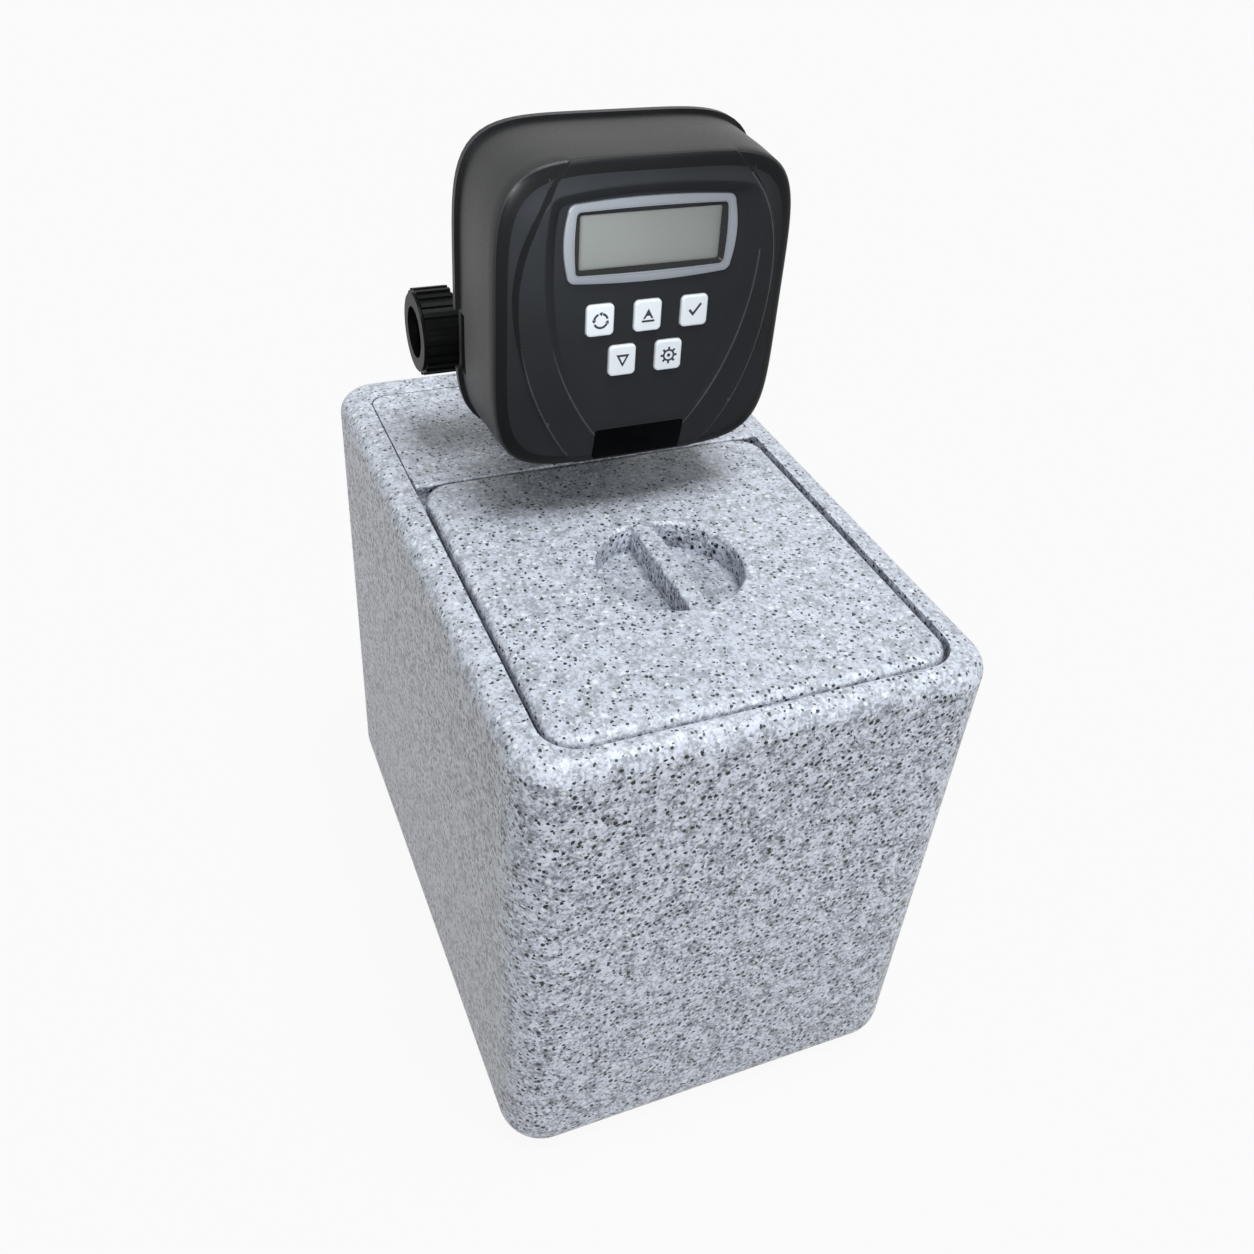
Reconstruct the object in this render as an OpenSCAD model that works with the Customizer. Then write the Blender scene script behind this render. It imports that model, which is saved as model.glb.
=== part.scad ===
// Compact cabinet water softener. A speckled moulded cabinet holds the brine, a
// lift-up salt lid covers its front, a resin vessel stands in its rear and a
// control valve with a display cover sits on the vessel's neck.
// Millimetres, +Z up, the front looks towards -Y, the origin lies on the floor
// under the middle of the cabinet.

/* [Cabinet] */
// Outer width of the cabinet
cab_w = 300; // [290:1:330]
// Outer depth of the cabinet
cab_d = 450; // [440:1:490]
// Height of the rim above the floor
cab_h = 372; // [365:1:410]
// Plan radius of the upright corners
cab_corner_r = 31; // [31:1:38]
// Radius of the outer top edge
cab_top_r = 13; // [8:1:13]
// Radius of the outer bottom edge
cab_base_r = 29; // [16:1:29]
// Thickness of the moulded wall
cab_wall = 5; // [4:0.5:6]

/* [Top opening] */
// Width of the rim at the sides
rim_side = 20.5; // [18:0.5:24]
// Width of the rim at the front
rim_front = 14.5; // [13:0.5:20]
// Width of the rim at the back
rim_back = 31; // [26:0.5:36]
// Depth of the seat below the rim
seat_depth = 12; // [11:0.5:13]
// Width of the seat that carries lid and cover
seat_w = 10; // [8:0.5:14]
// Thickness of the seat
seat_t = 6; // [5:0.5:8]
// Plan radius of the seat's front corners
seat_front_r = 23; // [20:1:26]
// Plan radius of the seat's back corners
seat_back_r = 14; // [11:1:18]

/* [Salt lid] */
// Thickness of the lid over its round edge
lid_t = 14; // [13:0.5:16]
// Gap beside the lid
lid_side_gap = 3.5; // [2.5:0.5:5]
// Gap in front of the lid
lid_front_gap = 2.5; // [2:0.5:5]
// Plan radius of the lid's corners
lid_corner_r = 20; // [17:1:24]
// Thickness of the lid's skin
lid_skin = 4; // [3:0.5:5]
// Radius of the round finger grip
grip_r = 47; // [40:1:52]
// Depth of the finger grip
grip_depth = 19; // [15:1:22]
// Width of the bar across the grip
grip_bar_w = 14; // [10:1:22]
// Radius of the soft edges of grip and bar
grip_edge_r = 2.5; // [1:0.5:4]

/* [Rear cover] */
// Depth of the rear cover from its hinge groove to the back
rear_cover_d = 134; // [128:1:140]
// Seam round the rear cover
rear_cover_gap = 1; // [0.6:0.1:1.5]
// Height of the rounded bar along the hinge groove above the rim
hinge_bar_rise = 2.3; // [2:0.1:4]

/* [Resin vessel] */
// Outer radius of the vessel
tank_r = 89; // [80:1:90]
// Wall of the vessel
tank_wall = 4; // [3:0.5:5]
// Space between vessel and back wall
tank_gap = 14; // [10:1:18]
// Outer radius of the vessel's neck
neck_r = 42; // [40:0.5:43]
// Radius of the threaded mouth
mouth_r = 31.8; // [30:0.1:33]
// Rise of the neck above the rim
neck_rise = 6; // [5:1:10]
// Outer radius of the riser tube
riser_r = 13.35; // [12:0.05:14]

/* [Brine side] */
// Distance of the brine well from the middle
well_x = 72; // [66:1:76]
// Space between the brine well and the rounded front edge of the floor
well_gap = 1; // [1:1:8]
// Outer radius of the brine well
well_r = 40; // [36:1:42]
// Outer radius of the brine tube
hose_r = 4.8; // [4:0.1:5.5]
// Travel of the safety float
float_travel = 70; // [50:1:80]

/* [Control valve] */
// Height of the side ports above the rim
port_rise = 85; // [80:1:90]
// Reach of each port from the middle
port_reach = 100; // [96:1:106]
// Outer radius of the port tube
port_r = 21.5; // [20:0.5:23]
// Bore radius of the ports
port_bore_r = 14; // [12:0.5:15]
// Outer radius of a union nut over its ribs
nut_r = 28.5; // [27.5:0.5:31]
// Height of the piston bore above the rim
bore_rise = 128; // [126:1:132]
// Radius of the piston bore
bore_r = 27; // [25:0.5:28]
// Length of the bore housing
house_l = 118; // [110:1:122]
// Stroke of the piston
stroke = 22; // [16:1:24]

/* [Display cover] */
// Half width of the cover's front
cover_a = 94; // [90:0.5:98]
// Half height of the cover's front
cover_b = 96; // [92:0.5:100]
// Height of the cover's middle above the rim
cover_rise = 137; // [136:1:142]
// Depth of the cover from face to back plate
cover_d = 73; // [70:1:80]
// Distance of the back plate in front of the vessel's axis
column_fwd = 57; // [55:1:60]
// Wall of the cover
cover_wall = 3; // [2.5:0.5:3.5]
// Lean of the control panel from the upright
panel_tilt = 2.5; // [1.5:0.5:3]
// Width of a button
button_w = 17.6; // [16:0.2:19]
// Height of a button
button_h = 19.4; // [18:0.2:20.4]
// Corner radius of a button
button_corner_r = 3; // [2:0.5:5]
// Distance between button centres in a row
button_pitch = 30.5; // [28:0.5:33]
// Distance between the two button rows
row_pitch = 26.7; // [25:0.1:29]
// Press of a button
button_press = 1; // [0.6:0.1:1.2]
// Width of the display opening
lcd_w = 93; // [86:1:96]
// Height of the display opening
lcd_h = 34.5; // [30:0.5:36]

/* [Fits] */
// Gap between parts that turn or slide freely
free_gap = 0.4; // [0.3:0.05:0.5]
// Radial running fit of gears on their pins
run_fit = 0.05; // [0.03:0.01:0.08]

/* [Hidden] */
$fn = 96;
hair = 0.01;

// Cabinet and its seat
seat_z = cab_h - seat_depth;
seat_x = cab_w / 2 - rim_side;
seat_y0 = -cab_d / 2 + rim_front;
seat_y1 = cab_d / 2 - rim_back;
in_w = cab_w - 2 * cab_wall;
in_d = cab_d - 2 * cab_wall;
ceiling_z = seat_z - seat_t;

// Rear cover and lid, which share the hinge line
bead_r = lid_t / 2;
rear_y1 = seat_y1 - rear_cover_gap;
rear_y0 = rear_y1 - rear_cover_d;
bead_reach = 2;
hinge_y = rear_y0 + bead_reach - bead_r;
hinge_z = seat_z + 0.3 + bead_r;
lid_w = 2 * (seat_x - lid_side_gap);
lid_y0 = seat_y0 + lid_front_gap;
lid_y1 = hinge_y + bead_r;
lid_d = lid_y1 - lid_y0;
lid_cy = (lid_y0 + lid_y1) / 2;
lid_z = seat_z + 0.3;
bar_z = cab_h + hinge_bar_rise;

// Resin vessel
tank_y = cab_d / 2 - cab_wall - tank_gap - tank_r;
neck_z = cab_h + neck_rise;
foot_t = 7;
tank_z0 = cab_wall + foot_t;
tank_dome_z = neck_z - 36;
knuckle = tank_r - neck_r + 8;
riser_z0 = tank_z0 + 34;
stub_l = 24;
pilot_z = neck_z + 6;

// Valve
port_z = cab_h + port_rise;
bore_z = cab_h + bore_rise;
plate_y = tank_y - column_fwd;
plate_t = 5;
house_y0 = plate_y + plate_t;
house_y1 = house_y0 + house_l;
house_r = bore_r + 10;
tower_y = house_y0 + 82;
tower_z = bore_z + 60;
nut_l = 25;
nut_x = port_reach - 14;
flange_w = 96;
flange_h = 84;
hose_x = well_x;
hose_y = house_y0 + 19;
hose_z = ceiling_z - 16;
hose_bend = 20;
well_y = -cab_d / 2 + cab_base_r + well_gap + well_r;

// Drive train: m1 gears on pins of the bracket
bracket_t = 4;
bracket_y = plate_y - 4 - bracket_t;
teeth_main = 60;
teeth_two = 40;
teeth_one = 36;
teeth_pin = 12;
gear_two = [36 * cos(150), bore_z + 36 * sin(150)];
gear_one = [gear_two[0] + 26 * cos(120), gear_two[1] + 26 * sin(120)];
motor_at = [gear_one[0] + 24 * cos(20), gear_one[1] + 24 * sin(20)];
gear_pin_r = 2;
hub_r = 12;
rod_r = 6;

// Cover and control panel
cover_z = cab_h + cover_rise;
face_y = plate_y - cover_d;
rim_grow = 2.5;
panel_z0 = cover_z - 68;
panel_y0 = face_y + 1.2;
panel_t = 3;
board_y = 16;
row_one = 71.5;
row_two = row_one - row_pitch;
lcd_z = 117.5;
bezel_lip = 5.5;
label_w = 60;
label_h = 22;
label_z = cover_z - 80.5;

// Smaller sizes of the brine side, the valve and the drive
overflow_hole_r = 8.6;
overflow_x = -cab_w / 2 + 52;
overflow_z = cab_h - 82;
overflow_r = 8;
overflow_out = 18;
overflow_drop = 40;
overflow_grip = 25;
overflow_flange_r = 15;
hose_bore_r = hose_r - 1.6;
hose_end_y = well_y + 22;
pick_r = 5;
cage_z = cab_wall + 3;
float_r = well_r - 12;
float_h = 40;
float_z = hose_z - 26 - float_travel - float_h - 8;
elbow_z = bore_z;
basket_r = 29;
basket_h = 46;
stub_r = mouth_r - 0.4;
ring_r = 2;
ring_at = mouth_r + 4;
screw_r = 2;
screw_x = 43;
screw_z = 28;
injector_r = 8;
piston_r = 17;
rod_front = bracket_y - 17;
meter_x = 46;
mouth_l = 22;
meter_r = port_bore_r - 0.6;
motor_r = 12;
notch_z = cover_z - 33;
jack_x = 62;
jack_z = cover_z + 62;
shield_half = 68;
shield_top = 152;
shield_wall = 8.5;
shield_rise = 6;
label_in = 3.7;
label_t = 1.4;
label_tilt = 6.5;
drain_z = bore_z + 46;
drain_r = 6.5;
drain_l = 24;
drain_x = 24;
drain_leg_r = 7.7;
drain_port_l = 30;
drain_out = 48;
bracket_w = 150;
bracket_h = 136;
post_x = 66;
post_up = 58;
post_down = 48;
board_w = 146;
board_h = 128;
board_mid = 76;

// Flat rounded rectangle, centred
module round_rect(w, d, r) {
    square([w - 2 * r, d], center = true);
    square([w, d - 2 * r], center = true);
    for (sx = [-1, 1], sy = [-1, 1]) {
        translate([sx * (w / 2 - r), sy * (d / 2 - r)]) circle(r);
    }
}

// Flat outline of the seat: front corners and back corners with their own radii
module seat_shape(grow) {
    x = seat_x + grow;
    y0 = seat_y0 - grow;
    y1 = seat_y1 + grow;
    rf = seat_front_r + grow;
    rb = seat_back_r + grow;
    translate([-x, y0 + rf]) square([2 * x, y1 - y0 - rf - rb]);
    translate([-x + rf, y0]) square([2 * (x - rf), rf]);
    translate([-x + rb, y1 - rb]) square([2 * (x - rb), rb]);
    for (s = [-1, 1]) {
        translate([s * (x - rf), y0 + rf]) circle(rf);
        translate([s * (x - rb), y1 - rb]) circle(rb);
    }
}

// Cross-section of a block with rounded top and bottom edges
module edge_shape(w, h, rt, rb) {
    if (h > rt + rb) translate([-w / 2, rb]) square([w, h - rt - rb]);
    translate([-w / 2 + rb, 0]) square([w - 2 * rb, rb]);
    translate([-w / 2 + rt, h - rt]) square([w - 2 * rt, rt]);
    for (s = [-1, 1]) {
        translate([s * (w / 2 - rb), rb]) circle(rb);
        translate([s * (w / 2 - rt), h - rt]) circle(rt);
    }
}

// Block with rounded upright corners and rounded top and bottom edges
module soft_block(w, d, h, r, rt, rb) {
    rotate([90, 0, 0]) linear_extrude(d - 2 * r, center = true) edge_shape(w, h, rt, rb);
    rotate([90, 0, 90]) linear_extrude(w - 2 * r, center = true) edge_shape(d, h, rt, rb);
    for (k = [0 : 3]) {
        sx = k == 0 || k == 3 ? 1 : -1;
        sy = k < 2 ? 1 : -1;
        translate([sx * (w / 2 - r), sy * (d / 2 - r), 0]) rotate([0, 0, 90 * k])
            rotate_extrude(angle = 90) intersection() {
                edge_shape(2 * r, h, rt, rb);
                square([r, h]);
            }
    }
}

// Cylinders along the three axes, given by their start and length
module rod_x(r, x, l, y, z) {
    translate([x, y, z]) rotate([0, 90, 0]) cylinder(r = r, h = l);
}

module rod_y(r, y, l, x, z) {
    translate([x, y, z]) rotate([-90, 0, 0]) cylinder(r = r, h = l);
}

module rod_z(r, z, l, x, y) {
    translate([x, y, z]) cylinder(r = r, h = l);
}

module ring_z(ro, ri, z, l, x, y) {
    translate([x, y, z]) linear_extrude(l) difference() {
        circle(ro);
        circle(ri);
    }
}

module ring_x(ro, ri, x, l, y, z) {
    translate([x, y, z]) rotate([90, 0, 90]) linear_extrude(l) difference() {
        circle(ro);
        circle(ri);
    }
}

// Bar of a flat shape drawn in X and Z, from y over length l
module bar_y(y, l) {
    translate([0, y + l, 0]) rotate([90, 0, 0]) linear_extrude(l) children();
}

// Moulded cabinet: hollow block, seat round the opening, hole for the overflow
module cabinet() {
    color([0.72, 0.74, 0.76]) difference() {
        soft_block(cab_w, cab_d, cab_h, cab_corner_r, cab_top_r, cab_base_r);
        translate([0, 0, cab_wall])
            soft_block(in_w, in_d, ceiling_z - cab_wall, cab_corner_r - cab_wall, 4, cab_base_r - cab_wall);
        translate([0, 0, seat_z]) linear_extrude(seat_depth + 1) seat_shape(0);
        translate([0, 0, ceiling_z - 1]) linear_extrude(seat_t + 2) seat_shape(-seat_w);
        rod_y(overflow_hole_r, cab_d / 2 - cab_wall - 5, cab_wall + 10, overflow_x, overflow_z);
    }
}

// Fixed rear cover: plate in the seat with a rounded bar and the hinge groove in front
module rear_cover() {
    color([0.7, 0.72, 0.74]) difference() {
        union() {
            translate([0, 0, seat_z]) linear_extrude(seat_depth) intersection() {
                seat_shape(-rear_cover_gap);
                translate([-cab_w, rear_y0]) square([2 * cab_w, rear_cover_d]);
            }
            hinge_bar();
        }
        rod_x(bead_r + free_gap, -cab_w / 2, cab_w, hinge_y, hinge_z);
        rod_z(neck_r + 4, seat_z - 1, seat_depth + 6, 0, tank_y);
        rod_z(hose_r + 2, seat_z - 1, seat_depth + 6, hose_x, hose_y);
    }
}

module hinge_bar() {
    bar_r = hinge_bar_rise;
    l = 2 * (seat_x - rear_cover_gap);
    translate([-l / 2, rear_y0, 0]) rotate([90, 0, 90]) linear_extrude(l) {
        translate([0, seat_z]) square([14, seat_depth]);
        translate([bar_r, cab_h]) square([14 - 2 * bar_r, bar_r]);
        translate([bar_r, cab_h]) circle(bar_r);
        translate([14 - bar_r, cab_h]) circle(bar_r);
    }
}

// Salt lid: hollow plate with a full round edge, a round grip and a bar across it
module salt_lid() {
    top = lid_z + lid_t;
    cup_z = top - grip_depth - lid_skin;
    color([0.72, 0.74, 0.76]) difference() {
        union() {
            difference() {
                translate([0, lid_cy, lid_z]) soft_block(lid_w, lid_d, lid_t, lid_corner_r, bead_r, bead_r);
                translate([0, lid_cy, lid_z - 1]) linear_extrude(lid_t - lid_skin + 1)
                    round_rect(lid_w - 28, lid_d - 28, 8);
            }
            rod_z(grip_r + lid_skin, cup_z, top - cup_z, 0, lid_cy);
        }
        difference() {
            translate([0, lid_cy, 0]) rotate_extrude() grip_half(cup_z + lid_skin, top);
            bar_y(lid_cy - grip_r - grip_edge_r - 1, 2 * (grip_r + grip_edge_r + 1)) grip_bar_shape(cup_z, top);
        }
    }
}

// Half section of the round pocket, whose rim is rounded
module grip_half(z, top) {
    translate([0, z]) square([grip_r, top + 1 - z]);
    difference() {
        translate([grip_r - 0.1, top - grip_edge_r]) square([grip_edge_r + 0.1, grip_edge_r + 1]);
        translate([grip_r + grip_edge_r, top - grip_edge_r + 0.1]) circle(grip_edge_r);
    }
}

// Cross-section of the bar with rounded upper edges
module grip_bar_shape(z, top) {
    half = grip_bar_w / 2;
    edge_z = top - grip_edge_r + 0.1;
    translate([-half, z]) square([grip_bar_w, edge_z - z]);
    translate([-half + grip_edge_r, z]) square([grip_bar_w - 2 * grip_edge_r, top + 3 - z]);
    for (s = [-1, 1]) translate([s * (half - grip_edge_r), edge_z]) circle(grip_edge_r);
}

// Overflow: elbow through the back wall with a flange outside and a nut inside
module overflow_elbow() {
    back = cab_d / 2;
    out = overflow_out;
    drop = overflow_drop;
    color([0.1, 0.1, 0.11]) difference() {
        union() {
            rod_y(overflow_hole_r - 0.3, back - 16, 16 + out, overflow_x, overflow_z);
            rod_y(overflow_flange_r, back, 3, overflow_x, overflow_z);
            translate([overflow_x, back + out, overflow_z]) sphere(overflow_r + 1);
            rod_z(overflow_r, overflow_z - drop, drop, overflow_x, back + out);
            rod_z(overflow_r + 1, overflow_z - drop + overflow_grip, drop - overflow_grip, overflow_x, back + out);
        }
        rod_y(overflow_r - 2, back - 17, 17 + out, overflow_x, overflow_z);
        rod_z(overflow_r - 2, overflow_z - drop - 1, drop + 1, overflow_x, back + out);
    }
}

module overflow_nut() {
    t = 7;
    color([0.1, 0.1, 0.11]) translate([overflow_x, cab_d / 2 - cab_wall, overflow_z]) rotate([90, 0, 0])
        linear_extrude(t) difference() {
            circle(14, $fn = 6);
            circle(overflow_hole_r);
        }
}

// Brine well: slotted tube that keeps salt away from the brine valve
module brine_well() {
    h = hose_z + 8 - cab_wall;
    color([0.85, 0.86, 0.85]) difference() {
        ring_z(well_r, well_r - 3, cab_wall, h, well_x, well_y);
        for (k = [0 : 3], j = [0 : 2]) {
            translate([well_x, well_y, cab_wall + 14 + 16 * j]) rotate([0, 0, 45 + 90 * k])
                translate([well_r - 8, -10, 0]) cube([12, 20, 5]);
        }
        translate([well_x - hose_r - 2, well_y, hose_z - hose_r - 2])
            cube([2 * hose_r + 4, well_r + 5, 30]);
    }
}

module well_cap() {
    top = hose_z + 8;
    color([0.1, 0.1, 0.11]) union() {
        rod_z(well_r + 1.5, top, 2.5, well_x, well_y);
        difference() {
            ring_z(well_r - 3.3, well_r - 5.3, top - 6, 6.5, well_x, well_y);
            translate([well_x - hose_r - 2, well_y, top - 7]) cube([2 * hose_r + 4, well_r + 5, 7]);
        }
    }
}

// Brine valve: head with a hose spigot and the pick-up tube below it
module brine_valve() {
    color([0.16, 0.17, 0.18]) difference() {
        union() {
            rod_z(14, hose_z - 22, 27, well_x, well_y);
            rod_y(hose_bore_r - 0.1, well_y, hose_end_y + 9 - well_y, well_x, hose_z);
            rod_y(7, well_y, 18, well_x, hose_z);
            rod_z(pick_r, cage_z + 30, hose_z - 22 - cage_z - 30, well_x, well_y);
        }
        rod_z(3.2, cage_z + 29, hose_z - cage_z - 29, well_x, well_y);
        rod_y(2, well_y, hose_end_y + 10 - well_y, well_x, hose_z);
    }
}

// Air check at the foot of the pick-up tube: slotted cage with a loose ball
module check_cage() {
    color([0.9, 0.9, 0.88]) difference() {
        union() {
            rod_z(14, cage_z, 44, well_x, well_y);
            rod_z(18, cage_z, 3, well_x, well_y);
        }
        rod_z(10.4, cage_z + 4, 26, well_x, well_y);
        rod_z(pick_r, cage_z + 30, 15, well_x, well_y);
        for (k = [0 : 5]) translate([well_x, well_y, cage_z + 6]) rotate([0, 0, 60 * k])
            translate([7, -2, 0]) cube([9, 4, 20]);
    }
}

module check_ball() {
    color([0.2, 0.2, 0.22]) translate([well_x, well_y, cage_z + 4.3 + 9]) sphere(9);
}

// Safety float rides on the pick-up tube above its stop
module safety_float() {
    color([0.93, 0.93, 0.9]) difference() {
        union() {
            rod_z(float_r, float_z, float_h, well_x, well_y);
            rod_z(12, float_z + float_h - 1, 8, well_x, well_y);
        }
        rod_z(pick_r + 0.8, float_z - 1, float_h + 20, well_x, well_y);
    }
}

module float_stop() {
    color([0.12, 0.12, 0.13]) ring_z(10, pick_r, float_z - 6.3, 6, well_x, well_y);
}

// Brine tube: down from the valve's elbow, through the rear cover, forward to the well
module brine_tube() {
    top = elbow_z - 24;
    color([0.82, 0.83, 0.82]) union() {
        ring_z(hose_r, hose_bore_r, hose_z + hose_bend, top - hose_z - hose_bend, hose_x, hose_y);
        translate([hose_x, hose_y - hose_bend, hose_z + hose_bend]) rotate([90, 0, 90])
            rotate_extrude_turn() hose_section();
        bar_y(hose_end_y, hose_y - hose_bend - hose_end_y) translate([hose_x, hose_z]) hose_cut();
    }
}

module hose_cut() {
    difference() {
        circle(hose_r);
        circle(hose_bore_r);
    }
}

module hose_section() {
    translate([hose_bend, 0]) hose_cut();
}

// Quarter turn from the forward run up into the upright run
module rotate_extrude_turn() {
    rotate([0, 0, -90]) rotate_extrude(angle = 90) children();
}

module tube_nut() {
    z = elbow_z - 30;
    color([0.1, 0.1, 0.11]) translate([hose_x, hose_y, z]) linear_extrude(14) difference() {
        union() {
            circle(9);
            for (k = [0 : 11]) rotate(30 * k) translate([8.6, 0]) square([1.6, 1.6], center = true);
        }
        circle(hose_r + 0.1);
    }
}

// Brine elbow: out of the bore housing to the right, then down to the tube
module brine_elbow() {
    x0 = house_r + 9;
    color([0.12, 0.12, 0.13]) difference() {
        union() {
            rod_x(6, x0 - 14, hose_x - x0 + 14, hose_y, elbow_z);
            rod_x(10, x0, 5, hose_y, elbow_z);
            translate([hose_x, hose_y, elbow_z]) sphere(8.5);
            rod_z(8.5, elbow_z - 16, 16, hose_x, hose_y);
            rod_z(hose_bore_r, elbow_z - 34, 20, hose_x, hose_y);
        }
        rod_x(3, x0 - 15, hose_x - x0 + 15, hose_y, elbow_z);
        rod_z(2, elbow_z - 35, 35, hose_x, hose_y);
    }
}

// Foot under the vessel: a dished ring on the cabinet's floor
module tank_foot() {
    color([0.15, 0.15, 0.16]) translate([0, tank_y, cab_wall]) rotate_extrude() difference() {
        square([tank_r - 14, foot_t + 22]);
        translate([0, foot_t]) square([tank_r - knuckle, 40]);
        translate([tank_r - knuckle, foot_t + knuckle]) circle(knuckle);
        translate([-1, -1]) square([31, foot_t + 30]);
    }
}

// Half section of the vessel, wound shell with rounded ends and a thick neck
module tank_half(inset) {
    r = tank_r - inset;
    k = knuckle - inset;
    z0 = tank_z0 + inset;
    z1 = tank_dome_z - inset;
    translate([0, z0]) square([r - k, z1 - z0]);
    translate([0, z0 + k]) square([r, z1 - z0 - 2 * k]);
    for (z = [z0 + k, z1 - k]) intersection() {
        translate([r - k, z]) circle(k);
        translate([0, z0]) square([r + 1, z1 - z0]);
    }
}

module resin_tank() {
    color([0.16, 0.22, 0.36]) translate([0, tank_y, 0]) rotate_extrude() difference() {
        union() {
            tank_half(0);
            translate([0, tank_dome_z - 30]) square([neck_r, neck_z - tank_dome_z + 30]);
        }
        tank_half(tank_wall);
        translate([-1, tank_dome_z - 50]) square([mouth_r + 1, neck_z - tank_dome_z + 60]);
        translate([ring_at - ring_r - 0.1, neck_z - 2 * ring_r - 0.2]) square([2 * ring_r + 0.2, 10]);
    }
}

// Bed of resin beads in the lower part of the vessel
module resin_bed() {
    k = knuckle - tank_wall - 0.3;
    r = tank_r - tank_wall - 0.3;
    z0 = tank_z0 + tank_wall + 0.3;
    h = (tank_dome_z - tank_z0) * 0.62;
    color([0.55, 0.36, 0.13]) translate([0, tank_y, 0]) rotate_extrude() difference() {
        union() {
            translate([0, z0]) square([r - k, h]);
            translate([0, z0 + k]) square([r, h - k]);
            intersection() {
                translate([r - k, z0 + k]) circle(k);
                translate([0, z0]) square([r, k]);
            }
        }
        translate([-1, z0 - 1]) square([basket_r + 1.5, basket_h + 3]);
        translate([-1, z0 - 1]) square([riser_r + 1.3, h + 2]);
    }
}

module riser_tube() {
    color([0.88, 0.88, 0.86]) ring_z(riser_r, riser_r - 3, riser_z0, pilot_z + 10 - riser_z0, 0, tank_y);
}

// Slotted baskets at the foot and the head of the riser
module lower_basket() {
    z = tank_z0 + tank_wall + 1.5;
    color([0.9, 0.9, 0.86]) difference() {
        rod_z(basket_r, z, basket_h - 2, 0, tank_y);
        rod_z(basket_r - 3, z + 3, riser_z0 - z - 6, 0, tank_y);
        rod_z(riser_r, riser_z0, 60, 0, tank_y);
        rod_z(riser_r - 4, z + 3, 60, 0, tank_y);
        for (k = [0 : 23]) translate([0, tank_y, z + 5]) rotate([0, 0, 15 * k])
            translate([basket_r - 6, -0.6, 0]) cube([8, 1.2, riser_z0 - z - 10]);
    }
}

module upper_basket() {
    z = neck_z - stub_l - 26;
    color([0.9, 0.9, 0.86]) difference() {
        union() {
            ring_z(stub_r, riser_r + 1, z + 22, 4, 0, tank_y);
            ring_z(stub_r - 5, stub_r - 8, z, 24, 0, tank_y);
            ring_z(stub_r - 5, riser_r + 1, z, 3, 0, tank_y);
        }
        for (k = [0 : 23]) translate([0, tank_y, z + 5]) rotate([0, 0, 15 * k])
            translate([stub_r - 10, -0.6, 0]) cube([8, 1.2, 15]);
    }
}

module neck_ring() {
    color([0.06, 0.06, 0.07]) translate([0, tank_y, neck_z - ring_r - 0.1]) rotate_extrude()
        translate([ring_at, 0]) circle(ring_r);
}

// Valve body: threaded stub, flange, column, cross tube with two ports, bore housing
module valve_body() {
    color([0.1, 0.1, 0.11]) difference() {
        union() {
            rod_z(stub_r, neck_z - stub_l, stub_l + 1, 0, tank_y);
            rod_z(neck_r + 8, neck_z, 12, 0, tank_y);
            for (k = [0 : 15]) translate([0, tank_y, neck_z]) rotate([0, 0, 22.5 * k])
                translate([neck_r + 6, -2.5, 0]) cube([4, 5, 12]);
            rod_z(36, neck_z + 11, port_z - neck_z - 11, 0, tank_y);
            for (k = [0 : 7]) translate([0, tank_y, neck_z + 10]) rotate([0, 0, 22.5 + 45 * k])
                translate([34, -2, 0]) cube([12, 4, 16]);
            rod_x(port_r, -port_reach, 2 * port_reach, tank_y, port_z);
            rod_x(port_r + 4, -58, 116, tank_y, port_z);
            rod_y(house_r, house_y0, house_l, 0, bore_z);
            rod_y(house_r + 3, house_y0 + 40, 6, 0, bore_z);
            rod_y(house_r + 3, house_y1 - 24, 6, 0, bore_z);
            translate([-flange_w / 2, house_y0, bore_z - flange_h / 2]) cube([flange_w, 8, flange_h]);
            rod_z(16, bore_z, tower_z - bore_z, 0, tower_y);
            rod_y(12, tower_y, drain_port_l, 0, drain_z);
            rod_x(11, 0, house_r + 9, hose_y, elbow_z);
            rod_x(13, 0, 64, tank_y + 6, port_z - 4);
        }
        rod_z(stub_r - 6, neck_z - stub_l - 1, stub_l + 7, 0, tank_y);
        rod_z(riser_r + 0.1, pilot_z - 1, 12, 0, tank_y);
        rod_z(9, pilot_z, port_z - pilot_z, 0, tank_y);
        rod_y(bore_r, house_y0 - 1, house_l - 6, 0, bore_z);
        for (s = [-1, 1]) {
            rod_x(port_bore_r, s < 0 ? -port_reach - 1 : port_reach - mouth_l, mouth_l + 1, tank_y, port_z);
            rod_x(meter_r, s < 0 ? -port_reach : 40, port_reach - 40, tank_y, port_z);
            rod_x(9, s < 0 ? -41 : 19, 22, tank_y, port_z);
            rod_z(7, port_z, bore_z - port_z, s * 20, tank_y);
            for (h = [-1, 1]) rod_y(screw_r, house_y0 - 1, 20, s * screw_x, bore_z + h * screw_z);
        }
        rod_z(injector_r, bore_z, tower_z - bore_z + 1, 0, tower_y);
        rod_y(drain_leg_r + 0.3, tower_y, drain_port_l + 1, 0, drain_z);
        rod_x(6, house_r - 12, 22, hose_y, elbow_z);
        rod_x(4, bore_r - 4, 12, hose_y, elbow_z);
        rod_y(motor_r + 4, house_y0 - 1, 40, motor_at[0], motor_at[1]);
    }
}

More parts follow.
